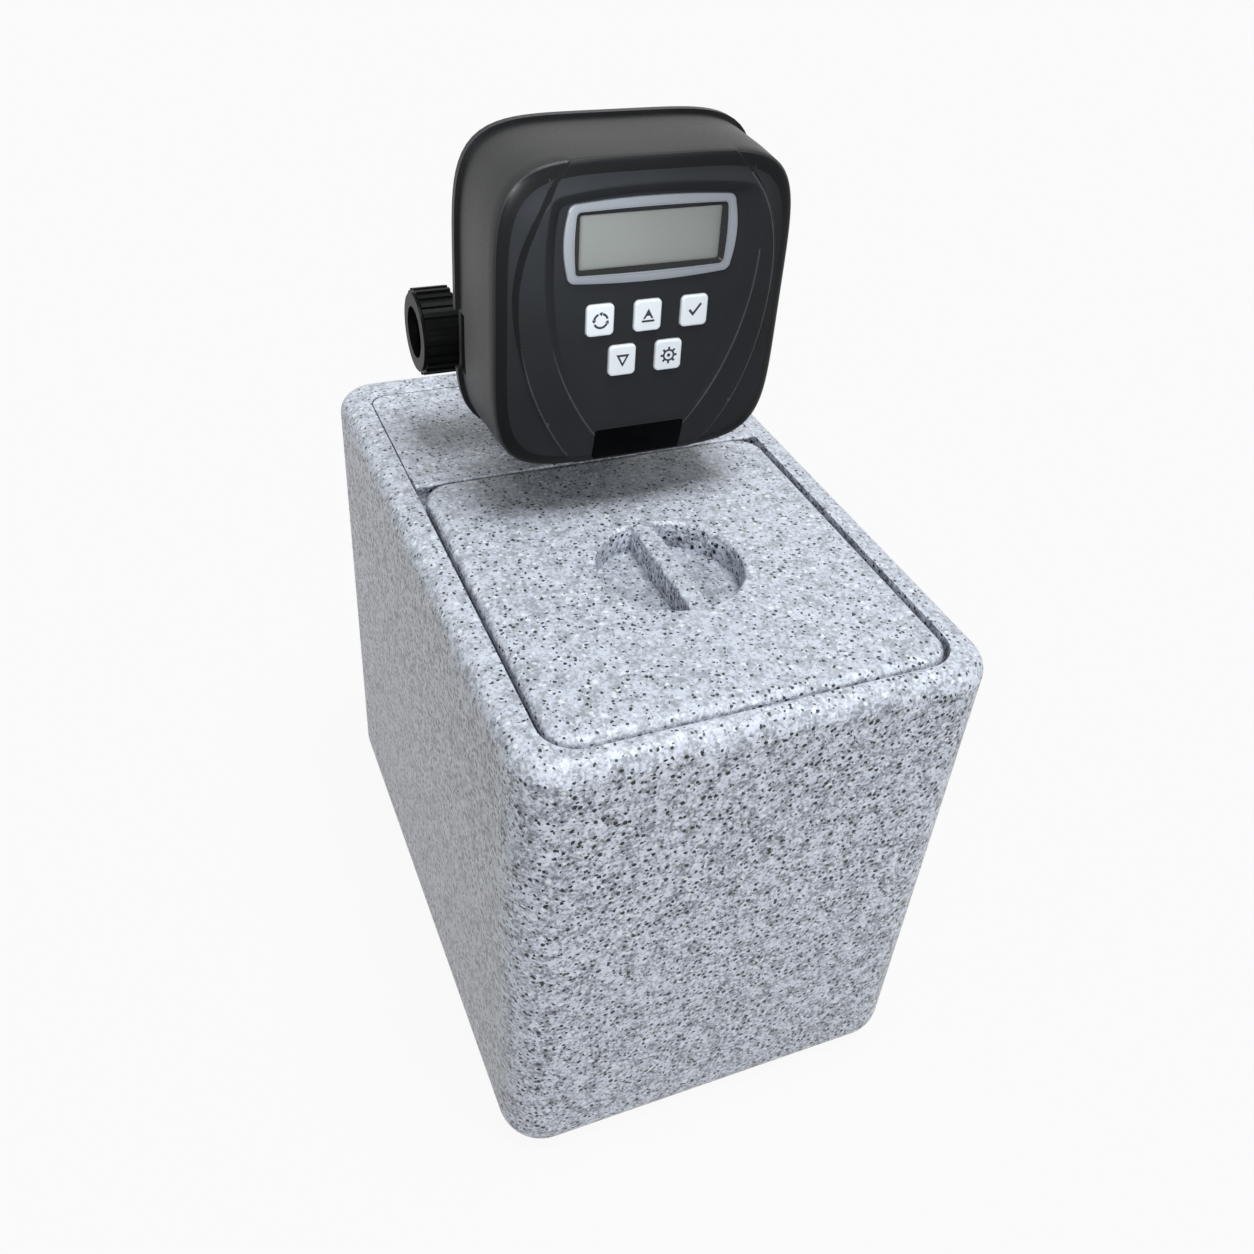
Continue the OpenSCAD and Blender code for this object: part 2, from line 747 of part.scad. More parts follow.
// Seals and spacers in the bore, with flow windows between the seals
module spacer_stack() {
    y0 = house_y0 + 13;
    l = house_l - 21;
    color([0.85, 0.85, 0.82]) difference() {
        bar_y(y0, l) translate([0, bore_z]) difference() {
            circle(bore_r - 0.2);
            circle(piston_r + 0.4);
        }
        for (j = [0 : 3]) {
            bar_y(y0 + 7 + j * l / 4, l / 4 - 12) translate([0, bore_z]) difference() {
                circle(bore_r + 1);
                circle(bore_r - 3);
            }
            for (k = [0 : 5]) translate([0, y0 + 9 + j * l / 4, bore_z]) rotate([0, 60 * k, 0])
                translate([piston_r - 1, 0, -4]) cube([12, l / 4 - 16, 8]);
        }
    }
}

// Piston with its lands and the threaded rod towards the drive
module main_piston() {
    y0 = house_y0 + 15 + stroke;
    l = house_l - 33 - stroke;
    color([0.78, 0.78, 0.74]) difference() {
        union() {
            rod_y(12, y0, l, 0, bore_z);
            for (k = [0 : 2]) rod_y(piston_r, y0 + k * (l - 12) / 2, 12, 0, bore_z);
            rod_y(rod_r, rod_front, y0 - rod_front + 1, 0, bore_z);
        }
        rod_y(8, y0 + 14, l, 0, bore_z);
    }
}

// Cap in the mouth of the bore, with the hub on which the main gear turns
module drive_cap() {
    color([0.14, 0.14, 0.15]) difference() {
        union() {
            rod_y(bore_r - 0.1, house_y0, 12, 0, bore_z);
            rod_y(hub_r, bracket_y - 14, house_y0 - bracket_y + 15, 0, bore_z);
            rod_y(hub_r + 4, bracket_y + bracket_t, 6, 0, bore_z);
        }
        rod_y(rod_r + free_gap, bracket_y - 15, 60, 0, bore_z);
    }
}

module injector() {
    color([0.82, 0.6, 0.25]) difference() {
        union() {
            rod_z(injector_r - 0.2, bore_z + 34, tower_z - bore_z - 36, 0, tower_y);
        }
        rod_z(1.6, bore_z + 33, 40, 0, tower_y);
        rod_x(2.4, -10, 20, tower_y, drain_z);
        rod_y(5, tower_y + 1, 10, 0, drain_z);
    }
}

module injector_cap() {
    color([0.1, 0.1, 0.11]) union() {
        rod_z(17.5, tower_z, 7, 0, tower_y);
        for (k = [0 : 7]) translate([0, tower_y, tower_z]) rotate([0, 0, 45 * k])
            translate([16.5, -2, 0]) cube([3, 4, 7]);
        translate([-12, tower_y - 2, tower_z + 6.5]) cube([24, 4, 5]);
    }
}

// Drain elbow at the back of the valve with its locking clip
module drain_elbow() {
    y0 = tower_y + 18;
    y1 = tower_y + drain_out;
    color([0.12, 0.12, 0.13]) difference() {
        union() {
            rod_y(drain_leg_r, y0, y1 - y0, 0, drain_z);
            rod_y(drain_leg_r + 1.2, tower_y + drain_port_l + 2.4, 3, 0, drain_z);
            translate([0, y1, drain_z]) rotate([0, 90, 0]) sphere(drain_leg_r + 1.3);
            rod_x(drain_leg_r + 0.3, 0, drain_x, y1, drain_z);
            rod_x(drain_r, drain_x, drain_l, y1, drain_z);
        }
        rod_y(drain_r - 1.5, y0 - 1, y1 - y0 + 1, 0, drain_z);
        rod_x(drain_r - 1.9, 0, drain_x + drain_l + 2, y1, drain_z);
    }
}

module drain_clip() {
    color([0.72, 0.1, 0.1]) bar_y(tower_y + drain_port_l, 2.4) translate([0, drain_z]) difference() {
        union() {
            circle(15);
            translate([-15, -8]) square([30, 8]);
            translate([-6, 10]) square([12, 8]);
        }
        circle(drain_leg_r);
        translate([-drain_leg_r, -20]) square([2 * drain_leg_r, 20]);
        translate([-20, -28]) square([40, 20]);
    }
}

// Split rings that hold the union nuts, and the flat washers in front of the ports
module port_rings() {
    color([0.75, 0.76, 0.78]) union() {
        for (s = [-1, 1]) ring_x(port_r + 2.6, port_r, s < 0 ? -port_reach + 2 : port_reach - 4.5, 2.5, tank_y, port_z);
    }
}

module port_washers() {
    color([0.06, 0.06, 0.07]) union() {
        for (s = [-1, 1]) ring_x(port_r - 0.5, port_bore_r + 1, s < 0 ? -port_reach - 3 : port_reach, 3, tank_y, port_z);
    }
}

// Union nut: ribbed sleeve with an inner lip, given for the right-hand side
module union_nut() {
    translate([nut_x, tank_y, port_z]) rotate([90, 0, 90]) union() {
        linear_extrude(8) difference() {
            nut_ribs();
            circle(port_r + 0.5);
        }
        translate([0, 0, 8]) linear_extrude(11) difference() {
            nut_ribs();
            circle(port_r + 3.3);
        }
        translate([0, 0, 19]) linear_extrude(nut_l - 21) difference() {
            nut_ribs();
            circle(port_bore_r + 3);
        }
        translate([0, 0, nut_l - 2]) linear_extrude(2) difference() {
            circle(nut_r - 3);
            circle(port_bore_r + 3);
        }
    }
}

module nut_ribs() {
    circle(nut_r - 1.5);
    for (k = [0 : 23]) rotate(15 * k) translate([nut_r - 1.6, 0]) square([3.2, 3], center = true);
}

module inlet_nut() {
    color([0.09, 0.09, 0.1]) mirror([1, 0, 0]) union_nut();
}

module outlet_nut() {
    color([0.09, 0.09, 0.1]) union_nut();
}

// Meter: a turbine wheel between two spiders in the outlet port
module turbine_cage() {
    color([0.88, 0.88, 0.85]) union() {
        for (x = [meter_x, meter_x + 25]) {
            ring_x(meter_r, meter_r - 1.6, x, 4, tank_y, port_z);
            translate([x, tank_y, port_z]) rotate([90, 0, 90]) linear_extrude(4) difference() {
                union() {
                    circle(3.4);
                    for (k = [0 : 2]) rotate(120 * k + 90) translate([0, -0.8]) square([meter_r - 0.5, 1.6]);
                }
                circle(1.2 + run_fit);
            }
        }
    }
}

module meter_turbine() {
    color([0.2, 0.35, 0.6]) union() {
        rod_x(1.2, meter_x + 0.5, 28, tank_y, port_z);
        rod_x(4, meter_x + 6, 17, tank_y, port_z);
        for (k = [0 : 5]) translate([meter_x + 14.5, tank_y, port_z]) rotate([60 * k, 0, 0])
            translate([0, 0, 2]) rotate([0, 0, 30]) translate([-5.5, -0.6, 0]) cube([11, 1.2, meter_r - 3.5]);
    }
}

// Outline of the display cover: a square with bowed sides and round corners
outline_n = 72;
function bow(a, b, t) = pow(pow(abs(cos(t)) / a, 5.2) + pow(abs(sin(t)) / b, 5.2), -1 / 5.2);
function outline(a, b, n = outline_n) = [for (i = [0 : n - 1])
    let (t = 360 * (i + 0.5) / n, r = bow(a, b, t)) [r * cos(t), cover_z + r * sin(t)]];

// Plate that closes the cover's back and carries the drive
module back_plate() {
    color([0.09, 0.09, 0.1]) difference() {
        union() {
            bar_y(plate_y, plate_t) polygon(outline(cover_a + 2 + rim_grow, cover_b + 2 + rim_grow, 2 * outline_n));
            rod_y(motor_r + 3, plate_y + 1, 36, motor_at[0], motor_at[1]);
        }
        rod_y(bore_r + 4, plate_y - 1, plate_t + 2, 0, bore_z);
        rod_y(motor_r + 0.5, plate_y - 1, 35, motor_at[0], motor_at[1]);
        for (s = [-1, 1]) {
            translate([s * (cover_a + 6) - 5, plate_y - 1, notch_z - 20]) cube([10, plate_t + 2, 40]);
            for (h = [-1, 1]) rod_y(screw_r, plate_y - 1, plate_t + 2, s * screw_x, bore_z + h * screw_z);
        }
        rod_y(6, plate_y - 1, plate_t + 2, jack_x, jack_z);
    }
}

// Bracket of the drive: plate with gear pins, spacers and posts for the board
module drive_bracket() {
    post = [[-post_x, post_up], [post_x, post_up], [-post_x, -post_down], [post_x, -post_down]];
    color([0.2, 0.2, 0.21]) difference() {
        union() {
            bar_y(bracket_y, bracket_t) translate([0, cover_z]) round_rect(bracket_w, bracket_h, 12);
            for (s = [-1, 1], h = [-1, 1])
                rod_y(6, bracket_y + bracket_t, plate_y - bracket_y - bracket_t, s * screw_x, bore_z + h * screw_z);
            for (p = post) rod_y(4, face_y + 8, bracket_y - face_y - 7, p[0], cover_z + p[1]);
            rod_y(gear_pin_r, bracket_y - 19.5, 20, gear_two[0], gear_two[1]);
            rod_y(4, bracket_y - 1, 1.2, gear_two[0], gear_two[1]);
            rod_y(gear_pin_r, bracket_y - 28, 29, gear_one[0], gear_one[1]);
            rod_y(4, bracket_y - 11, 12, gear_one[0], gear_one[1]);
        }
        rod_y(hub_r + 1, bracket_y - 1, bracket_t + 2, 0, bore_z);
        rod_y(2.5, bracket_y - 1, bracket_t + 2, motor_at[0], motor_at[1]);
        for (s = [-1, 1], h = [-1, 1])
            rod_y(screw_r, bracket_y - 1, 20, s * screw_x, bore_z + h * screw_z);
        on_panel() translate([-150, -60, -60]) cube([300, 60 + board_y + 1.6, 300]);
    }
}

module bracket_screws() {
    color([0.7, 0.71, 0.73]) union() {
        for (s = [-1, 1], h = [-1, 1]) {
            rod_y(screw_r, bracket_y, 20, s * screw_x, bore_z + h * screw_z);
            difference() {
                rod_y(4, bracket_y - 2.6, 2.6, s * screw_x, bore_z + h * screw_z);
                for (a = [0, 90]) translate([s * screw_x, bracket_y - 2.6, bore_z + h * screw_z]) rotate([0, a, 0])
                    translate([-2.4, -1, -0.5]) cube([4.8, 2.4, 1]);
            }
        }
    }
}

// Involute gear outline with module 1, shortened teeth and backlash
function inv(a) = tan(a) - a * PI / 180;
function flank(z, r) = let (rb = z / 2 * cos(20), ar = r > rb ? acos(rb / r) : 0)
    (PI / 2 - 0.12) / z * 180 / PI + (inv(20) - inv(ar)) * 180 / PI;
function gear_outline(z) = let (rs = [z / 2 - 1.05, z / 2 - 0.5, z / 2, z / 2 + 0.4, z / 2 + 0.75])
    [for (k = [0 : z - 1]) each concat(
        [for (i = [0 : 4]) let (t = 360 / z * k - flank(z, rs[i])) [rs[i] * cos(t), rs[i] * sin(t)]],
        [for (i = [4 : -1 : 0]) let (t = 360 / z * k + flank(z, rs[i])) [rs[i] * cos(t), rs[i] * sin(t)]])];

module gear_y(z, y, l, at, turn) {
    bar_y(y, l) translate(at) rotate(turn) polygon(gear_outline(z));
}

module main_gear() {
    color([0.9, 0.9, 0.86]) difference() {
        union() {
            gear_y(teeth_main, bracket_y - 9, 7, [0, bore_z], 150);
            rod_y(hub_r + 2.5, bracket_y - 17, 10, 0, bore_z);
        }
        rod_y(hub_r + run_fit, bracket_y - 14.3, 20, 0, bore_z);
        rod_y(rod_r + free_gap, bracket_y - 20, 20, 0, bore_z);
        for (k = [0 : 5]) translate([0, bracket_y - 10, bore_z]) rotate([0, 60 * k, 0])
            translate([22.5, 0, 0]) rotate([-90, 0, 0]) cylinder(r = 3, h = 10);
    }
}

module gear_stage_two() {
    color([0.85, 0.86, 0.84]) difference() {
        union() {
            gear_y(teeth_pin, bracket_y - 13.5, 12, gear_two, 150 + 180 + 15);
            gear_y(teeth_two, bracket_y - 18, 5, gear_two, 120);
        }
        rod_y(gear_pin_r + run_fit, bracket_y - 30, 40, gear_two[0], gear_two[1]);
    }
}

module gear_stage_one() {
    color([0.9, 0.9, 0.86]) difference() {
        union() {
            gear_y(teeth_pin, bracket_y - 21.5, 10, gear_one, 120 + 180 + 15);
            gear_y(teeth_one, bracket_y - 26, 5, gear_one, 20);
        }
        rod_y(gear_pin_r + run_fit, bracket_y - 40, 60, gear_one[0], gear_one[1]);
    }
}

module motor_pinion() {
    color([0.8, 0.65, 0.3]) union() {
        gear_y(teeth_pin, bracket_y - 27, 7, motor_at, 20 + 180 + 15);
        rod_y(1.5, bracket_y - 21, 21 + bracket_t + 10, motor_at[0], motor_at[1]);
    }
}

module drive_motor() {
    color([0.6, 0.61, 0.63]) difference() {
        union() {
            rod_y(motor_r, bracket_y + bracket_t, 34, motor_at[0], motor_at[1]);
        }
        rod_y(1.5 + run_fit, bracket_y, bracket_t + 10.4, motor_at[0], motor_at[1]);
    }
}

// Frame of the leaning control panel: x right, y into the panel, z up along it
module on_panel() {
    translate([0, panel_y0, panel_z0]) rotate([-panel_tilt, 0, 0]) children();
}

// Flat shape in the panel's plane, from depth y over thickness l
module panel_slab(y, l) {
    translate([0, y + l, 0]) rotate([90, 0, 0]) linear_extrude(l) children();
}

button_at = [[-button_pitch, row_one], [0, row_one], [button_pitch, row_one],
    [-button_pitch / 2, row_two], [button_pitch / 2, row_two]];

module circuit_board() {
    color([0.06, 0.3, 0.16]) on_panel() difference() {
        panel_slab(board_y, 1.6) translate([0, board_mid]) round_rect(board_w, board_h, 4);
        for (s = [-1, 1]) panel_slab(board_y - 1, 4) translate([s * (post_x - 6), board_mid - 56]) circle(2);
    }
}

module key_switches() {
    color([0.12, 0.12, 0.13]) on_panel() union() {
        for (p = button_at) {
            panel_slab(board_y - 3.4, 3.4) translate(p) square([6.2, 6.2], center = true);
            panel_slab(board_y - 4.2, 1) translate(p) circle(1.7);
        }
    }
}

module lcd_panel() {
    color([0.6, 0.63, 0.58]) on_panel() union() {
        panel_slab(5, 3) translate([0, lcd_z]) square([lcd_w + 8, lcd_h + 8], center = true);
        panel_slab(8, board_y - 8) translate([0, lcd_z]) square([lcd_w + 4, lcd_h + 4], center = true);
    }
}

module lcd_window() {
    color([0.75, 0.78, 0.76]) on_panel()
        panel_slab(1.4, 1.6) translate([0, lcd_z]) round_rect(lcd_w + 3, lcd_h + 3, 2);
}

// Bezel with bowed outer sides, dropped into the panel from the front
module bezel_shape(grow) {
    w = lcd_w + 2 * bezel_lip + 2 * grow;
    h = lcd_h + 2 * bezel_lip + 2 * grow;
    round_rect(w, h, 5 + grow);
    intersection() {
        translate([w / 2 + 2.4 - 150, 0]) circle(150, $fn = 720);
        translate([-w / 2 - 2.4 + 150, 0]) circle(150, $fn = 720);
        square([w + 6, h - 8], center = true);
    }
    intersection() {
        translate([0, h / 2 + 2 - 700]) circle(700, $fn = 2880);
        translate([0, -h / 2 - 2 + 700]) circle(700, $fn = 2880);
        square([w - 10, h + 6], center = true);
    }
}

module lcd_bezel() {
    color([0.66, 0.68, 0.69]) on_panel() translate([0, 0, lcd_z]) union() {
        panel_slab(-1.6, 1.6) difference() {
            bezel_shape(0);
            round_rect(lcd_w, lcd_h, 1.6);
        }
        panel_slab(0, 1.4) difference() {
            round_rect(lcd_w + 6, lcd_h + 6, 3);
            round_rect(lcd_w, lcd_h, 1.6);
        }
        panel_slab(1.4, 1.6) difference() {
            round_rect(lcd_w + 6, lcd_h + 6, 3);
            round_rect(lcd_w + 3, lcd_h + 3, 2);
        }
    }
}

// Button: cap through the panel, flange behind it and a stem on its switch
module button(i) {
    color([0.93, 0.93, 0.92]) on_panel() translate([button_at[i][0], 0, button_at[i][1]]) union() {
        panel_slab(-2, 6) round_rect(button_w, button_h, button_corner_r);
        panel_slab(panel_t + free_gap, 1.6) round_rect(button_w + 3.4, button_h + 3.4, button_corner_r + 1);
        panel_slab(4, board_y - 4.2 - button_press - 0.4 - 4) circle(3);
    }
}

module button_cycle() {
    button(0);
}

module button_up() {
    button(1);
}

module button_tick() {
    button(2);
}

module button_down() {
    button(3);
}

module button_gear() {
    button(4);
}

// Outer or inner skin of the cover as one rounded solid
module cover_solid(inset, back) {
    r = 9;
    hull() {
        for (s = [[back - hair, 2], [plate_y - 40, 1.2], [face_y + 12, 0]]) cover_slice(s[0], s[1] - inset);
        for (t = [25, 50, 75]) cover_slice(face_y + 12 + inset - (r - 1) * sin(t), -inset - r * (1 - cos(t)));
        for (k = [1, 0.66, 0.33]) cover_slice(face_y + inset + 4 * k * k, -inset - r - (cover_a - inset - r) * (1 - k));
    }
}

module cover_slice(y, grow) {
    k = (cover_a + grow) / cover_a;
    bar_y(y, hair) polygon(outline(cover_a + grow, cover_b * k));
}

// Shield outline of the sunken control panel
module shield_shape(grow) {
    x1 = shield_half + grow;
    intersection() {
        translate([0, shield_top + grow - 420]) circle(420, $fn = 360);
        translate([x1 - 205, 108]) circle(205, $fn = 180);
        translate([-x1 + 205, 108]) circle(205, $fn = 180);
        translate([-200, -grow]) square([400, 400]);
    }
}

// Space in front of the panel, whose walls slope out to the face
module shield_space() {
    front = 20;
    hull() {
        panel_slab(-1, 1) shield_shape(-shield_wall);
        panel_slab(-front - 1, 1) shield_shape(shield_wall * (front / shield_rise - 1));
    }
}

// Cover: hollow shell, sunken leaning panel, openings for display, buttons and label
module front_cover() {
    color([0.08, 0.08, 0.09]) difference() {
        union() {
            difference() {
                cover_solid(0, plate_y);
                cover_solid(cover_wall, plate_y + 2);
            }
            intersection() {
                cover_solid(1, plate_y);
                on_panel() panel_slab(-12, 12 + panel_t) shield_shape(3);
            }
        }
        on_panel() {
            shield_space();
            panel_slab(-2, 10) translate([0, lcd_z]) round_rect(lcd_w + 6.6, lcd_h + 6.6, 3.3);
            for (p = button_at) panel_slab(-2, 12) translate(p)
                round_rect(button_w + 2 * free_gap, button_h + 2 * free_gap, button_corner_r + free_gap);
        }
        on_label() panel_slab(-6, 6 + label_t) round_rect(label_w + 0.6, label_h + 0.6, 2.3);
        for (s = [-1, 1]) translate([s * (cover_a + 6) - 7, plate_y - 10, notch_z - 20]) cube([14, 11, 40]);
    }
}

// Bare plate let into the foot of the face, which falls back there
module on_label() {
    translate([0, face_y + label_in, label_z]) rotate([label_tilt, 0, 0]) children();
}

module label_plate() {
    color([0.03, 0.03, 0.035]) on_label() panel_slab(0, label_t) round_rect(label_w, label_h, 2);
}

// Socket for the low-voltage supply in the back plate
module power_inlet() {
    color([0.06, 0.06, 0.07]) difference() {
        union() {
            rod_y(5.9, plate_y - 2, plate_t + 12, jack_x, jack_z);
            rod_y(8, plate_y + plate_t, 3, jack_x, jack_z);
        }
        rod_y(3.2, plate_y + 3, 20, jack_x, jack_z);
    }
}

cabinet();
rear_cover();
salt_lid();
overflow_elbow();
overflow_nut();
brine_well();
well_cap();
brine_valve();
check_cage();
check_ball();
safety_float();
float_stop();
brine_tube();
tube_nut();
brine_elbow();
tank_foot();
resin_tank();
resin_bed();
riser_tube();
lower_basket();
upper_basket();
neck_ring();
valve_body();
spacer_stack();
main_piston();
drive_cap();
injector();
injector_cap();
drain_elbow();
drain_clip();
port_rings();
port_washers();
inlet_nut();
outlet_nut();
turbine_cage();
meter_turbine();
back_plate();
drive_bracket();
bracket_screws();
main_gear();
gear_stage_two();
gear_stage_one();
motor_pinion();
drive_motor();
circuit_board();
key_switches();
lcd_panel();
lcd_window();
lcd_bezel();
button_cycle();
button_up();
button_tick();
button_down();
button_gear();
front_cover();
label_plate();
power_inlet();
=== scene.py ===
import math
import bmesh
import bpy
from mathutils import Matrix, Vector


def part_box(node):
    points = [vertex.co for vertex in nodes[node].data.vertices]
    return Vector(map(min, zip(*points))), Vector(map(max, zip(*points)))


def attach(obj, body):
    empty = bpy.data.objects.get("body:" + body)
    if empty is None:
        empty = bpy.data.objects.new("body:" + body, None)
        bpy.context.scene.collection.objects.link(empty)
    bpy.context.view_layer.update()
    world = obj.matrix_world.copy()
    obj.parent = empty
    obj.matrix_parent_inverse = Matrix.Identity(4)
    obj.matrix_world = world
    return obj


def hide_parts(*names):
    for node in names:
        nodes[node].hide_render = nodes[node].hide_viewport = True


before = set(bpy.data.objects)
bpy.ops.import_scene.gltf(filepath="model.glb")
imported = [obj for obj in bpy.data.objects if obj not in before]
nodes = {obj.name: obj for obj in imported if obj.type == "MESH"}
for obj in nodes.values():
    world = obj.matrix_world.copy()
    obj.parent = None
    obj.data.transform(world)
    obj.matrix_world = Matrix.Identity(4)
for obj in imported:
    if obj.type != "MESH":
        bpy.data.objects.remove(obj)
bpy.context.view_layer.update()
mm = 0.001


# Camera. It stands before the left front corner of the cabinet, above the head,
# and looks down on the lid; place, turn and lens follow from the cabinet's edges.
camera_place = Vector((-294.5, -636.7, 818.2)) * mm
camera_yaw = math.radians(25.45)
camera_pitch = math.radians(38.06)
camera_roll = math.radians(-4.89)

ahead = Vector((math.sin(camera_yaw) * math.cos(camera_pitch),
                math.cos(camera_yaw) * math.cos(camera_pitch),
                -math.sin(camera_pitch)))
level = Vector((math.cos(camera_yaw), -math.sin(camera_yaw), 0))
below = ahead.cross(level)
picture_right = level * math.cos(camera_roll) + below * math.sin(camera_roll)
picture_down = below * math.cos(camera_roll) - level * math.sin(camera_roll)
camera_turn = Matrix((picture_right, -picture_down, -ahead)).transposed()

camera = bpy.data.objects.new("camera", bpy.data.cameras.new("camera"))
camera.data.sensor_width = 36
camera.data.lens = 35.325
camera.matrix_world = Matrix.Translation(camera_place) @ camera_turn.to_4x4()
bpy.context.scene.collection.objects.link(camera)
bpy.context.scene.camera = camera


# Ground and light. A wide pale sweep lies under the softener; a broad lamp hangs high
# above, a smaller one stands low on the left, a spot picks out the head and an even
# sky fills the shade. For the lens the sweep glows, so that it stays white.
def place(tree, kind, inputs=None, **fields):
    made = tree.nodes.new(kind)
    for field, value in fields.items():
        setattr(made, field, value)
    for socket, value in (inputs or {}).items():
        if isinstance(value, bpy.types.NodeSocket):
            tree.links.new(value, made.inputs[socket])
        else:
            made.inputs[socket].default_value = value
    return made


def compute(tree, operation, first, second=0.0):
    return place(tree, "ShaderNodeMath", {0: first, 1: second}, operation=operation).outputs[0]


def seen_directly(tree):
    path = place(tree, "ShaderNodeLightPath").outputs
    lens = compute(tree, "MAXIMUM", path["Is Camera Ray"], path["Is Glossy Ray"])
    return compute(tree, "MAXIMUM", lens, path["Is Transmission Ray"])


backdrop_white = (1, 1, 1, 1)
sky_tint = (0.97, 0.985, 1, 1)
sky_fill = 0.27

world = bpy.data.worlds.new("studio")
bpy.context.scene.world = world
world.use_nodes = True
world.node_tree.nodes.clear()
fill = place(world.node_tree, "ShaderNodeBackground", {"Color": sky_tint, "Strength": sky_fill})
white = place(world.node_tree, "ShaderNodeBackground", {"Color": backdrop_white, "Strength": 1})
sky = place(world.node_tree, "ShaderNodeMixShader", {0: seen_directly(world.node_tree),
            1: fill.outputs[0], 2: white.outputs[0]})
place(world.node_tree, "ShaderNodeOutputWorld", {"Surface": sky.outputs[0]})

ground_glow = 0.93
sheet_grey = (0.4, 0.4, 0.4, 1)
bounce_grey = (0.12, 0.12, 0.12, 1)
ground_paint = bpy.data.materials.new("ground_white")
ground_paint.use_nodes = True
tree = ground_paint.node_tree
tree.nodes.clear()
thrown_back = place(tree, "ShaderNodeBsdfDiffuse", {"Color": bounce_grey})
sheet = place(tree, "ShaderNodeBsdfDiffuse", {"Color": sheet_grey})
glow = place(tree, "ShaderNodeEmission", {"Color": backdrop_white, "Strength": 1})
shaded = place(tree, "ShaderNodeMixShader", {0: ground_glow, 1: sheet.outputs[0], 2: glow.outputs[0]})
sweep = place(tree, "ShaderNodeMixShader", {0: seen_directly(tree),
              1: thrown_back.outputs[0], 2: shaded.outputs[0]})
place(tree, "ShaderNodeOutputMaterial", {"Surface": sweep.outputs[0]})

ground_half = 20
ground_mesh = bpy.data.meshes.new("ground")
ground_mesh.from_pydata([(-ground_half, -ground_half, 0), (ground_half, -ground_half, 0),
                         (ground_half, ground_half, 0), (-ground_half, ground_half, 0)], [], [(0, 1, 2, 3)])
ground_mesh.materials.append(ground_paint)
ground = bpy.data.objects.new("ground", ground_mesh)
bpy.context.scene.collection.objects.link(ground)

lamp_tint = (0.95, 0.98, 1)
lamps = {"high_lamp": ((0.1, -0.17, 0.98), 2.4, 30), "side_lamp": ((-0.29, -0.93, 0.17), 1.42, 20)}
for lamp_name, (lamp_from, power, spread) in lamps.items():
    lamp = bpy.data.objects.new(lamp_name, bpy.data.lights.new(lamp_name, "SUN"))
    lamp.data.energy = power
    lamp.data.color = lamp_tint
    lamp.data.angle = math.radians(spread)
    lamp.rotation_euler = Vector(lamp_from).to_track_quat("Z", "Y").to_euler()
    bpy.context.scene.collection.objects.link(lamp)

spot_tint = (0.9, 0.96, 1)
spot_from = Vector((-0.26, -0.29, 0.73))
spot_to = Vector((-0.085, -0.01, 0.62))
face_lamp = bpy.data.objects.new("face_lamp", bpy.data.lights.new("face_lamp", "SPOT"))
face_lamp.data.energy = 8.5
face_lamp.data.color = spot_tint
face_lamp.data.spot_size = math.radians(38)
face_lamp.data.spot_blend = 1
face_lamp.data.shadow_soft_size = 0.06
face_lamp.visible_camera = False
face_lamp.location = spot_from
face_lamp.rotation_euler = (spot_from - spot_to).to_track_quat("Z", "Y").to_euler()
bpy.context.scene.collection.objects.link(face_lamp)


# Cabinet, rear cover and salt lid. All three are rotomoulded in thick polythene whose
# powder holds white and black grains; upward faces get a finer grain and a painted sheen,
# paler and softer, the grip's floor gets painted shade and the lower part darkens in
# painted shade towards the ground. The cover drops into the seat and the lid hinges in its groove.
def new_group(name, inputs, outputs):
    group = bpy.data.node_groups.new(name, "ShaderNodeTree")
    for label, kind, value in inputs:
        socket = group.interface.new_socket(label, in_out="INPUT", socket_type=kind)
        socket.default_value = value
    for label, kind in outputs:
        group.interface.new_socket(label, in_out="OUTPUT", socket_type=kind)
    return group, group.nodes.new("NodeGroupInput"), group.nodes.new("NodeGroupOutput")


def new_paint(name, **surface):
    paint = bpy.data.materials.new(name)
    paint.use_nodes = True
    skin = paint.node_tree.nodes["Principled BSDF"]
    for socket, value in surface.items():
        skin.inputs[socket.replace("_", " ")].default_value = value
    return paint, paint.node_tree, skin


def dress(paint, *names):
    for name in names:
        for slot in nodes[name].material_slots:
            slot.material = paint


def fade(tree, value, start=0.0, end=1.0, at_start=0.0, at_end=1.0):
    return place(tree, "ShaderNodeMapRange",
                 {0: value, 1: start, 2: end, 3: at_start, 4: at_end}, clamp=True).outputs[0]


def blend(tree, share, first, second):
    return place(tree, "ShaderNodeMixRGB", {0: share, 1: first, 2: second}).outputs[0]


def scaled(tree, vector, factor):
    return place(tree, "ShaderNodeVectorMath", {0: vector, "Scale": factor}, operation="SCALE").outputs[0]


def noise(tree, spot, scale, detail, roughness=0.5):
    return place(tree, "ShaderNodeTexNoise",
                 {"Vector": spot, "Scale": scale, "Detail": detail, "Roughness": roughness}).outputs


least_grain = 0.55


def grains(tree, spot, scale, radius, softness, share_shown):
    cells = place(tree, "ShaderNodeTexVoronoi", {"Vector": spot, "Scale": scale, "Randomness": 1}).outputs
    parts = place(tree, "ShaderNodeSeparateColor", {0: cells["Color"]}).outputs
    size = fade(tree, parts[0], at_start=radius * least_grain, at_end=radius)
    edge = fade(tree, compute(tree, "SUBTRACT", size, cells["Distance"]), end=softness)
    return compute(tree, "MULTIPLY", edge, compute(tree, "LESS_THAN", parts[1], share_shown))


lid_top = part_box("salt_lid")[1].z
side_from = 140 * mm
# Painted shade: upward faces this far below the lid's top, the grip's floor, are painted darker.
sunken_from = lid_top - 4 * mm
sunken_to = lid_top - 10 * mm
# Painted shade: below this height the granite is painted darker towards the ground.
foot_height = 240 * mm
painted_foot_shade = 0.87
painted_floor_shade = 0.84
pattern_scale = 0.92
grain_wander = 2.2 * mm
cloud_weight = 0.6
fleck_strength = 0.8
mid_strength = 0.75
side_strength = 0.8
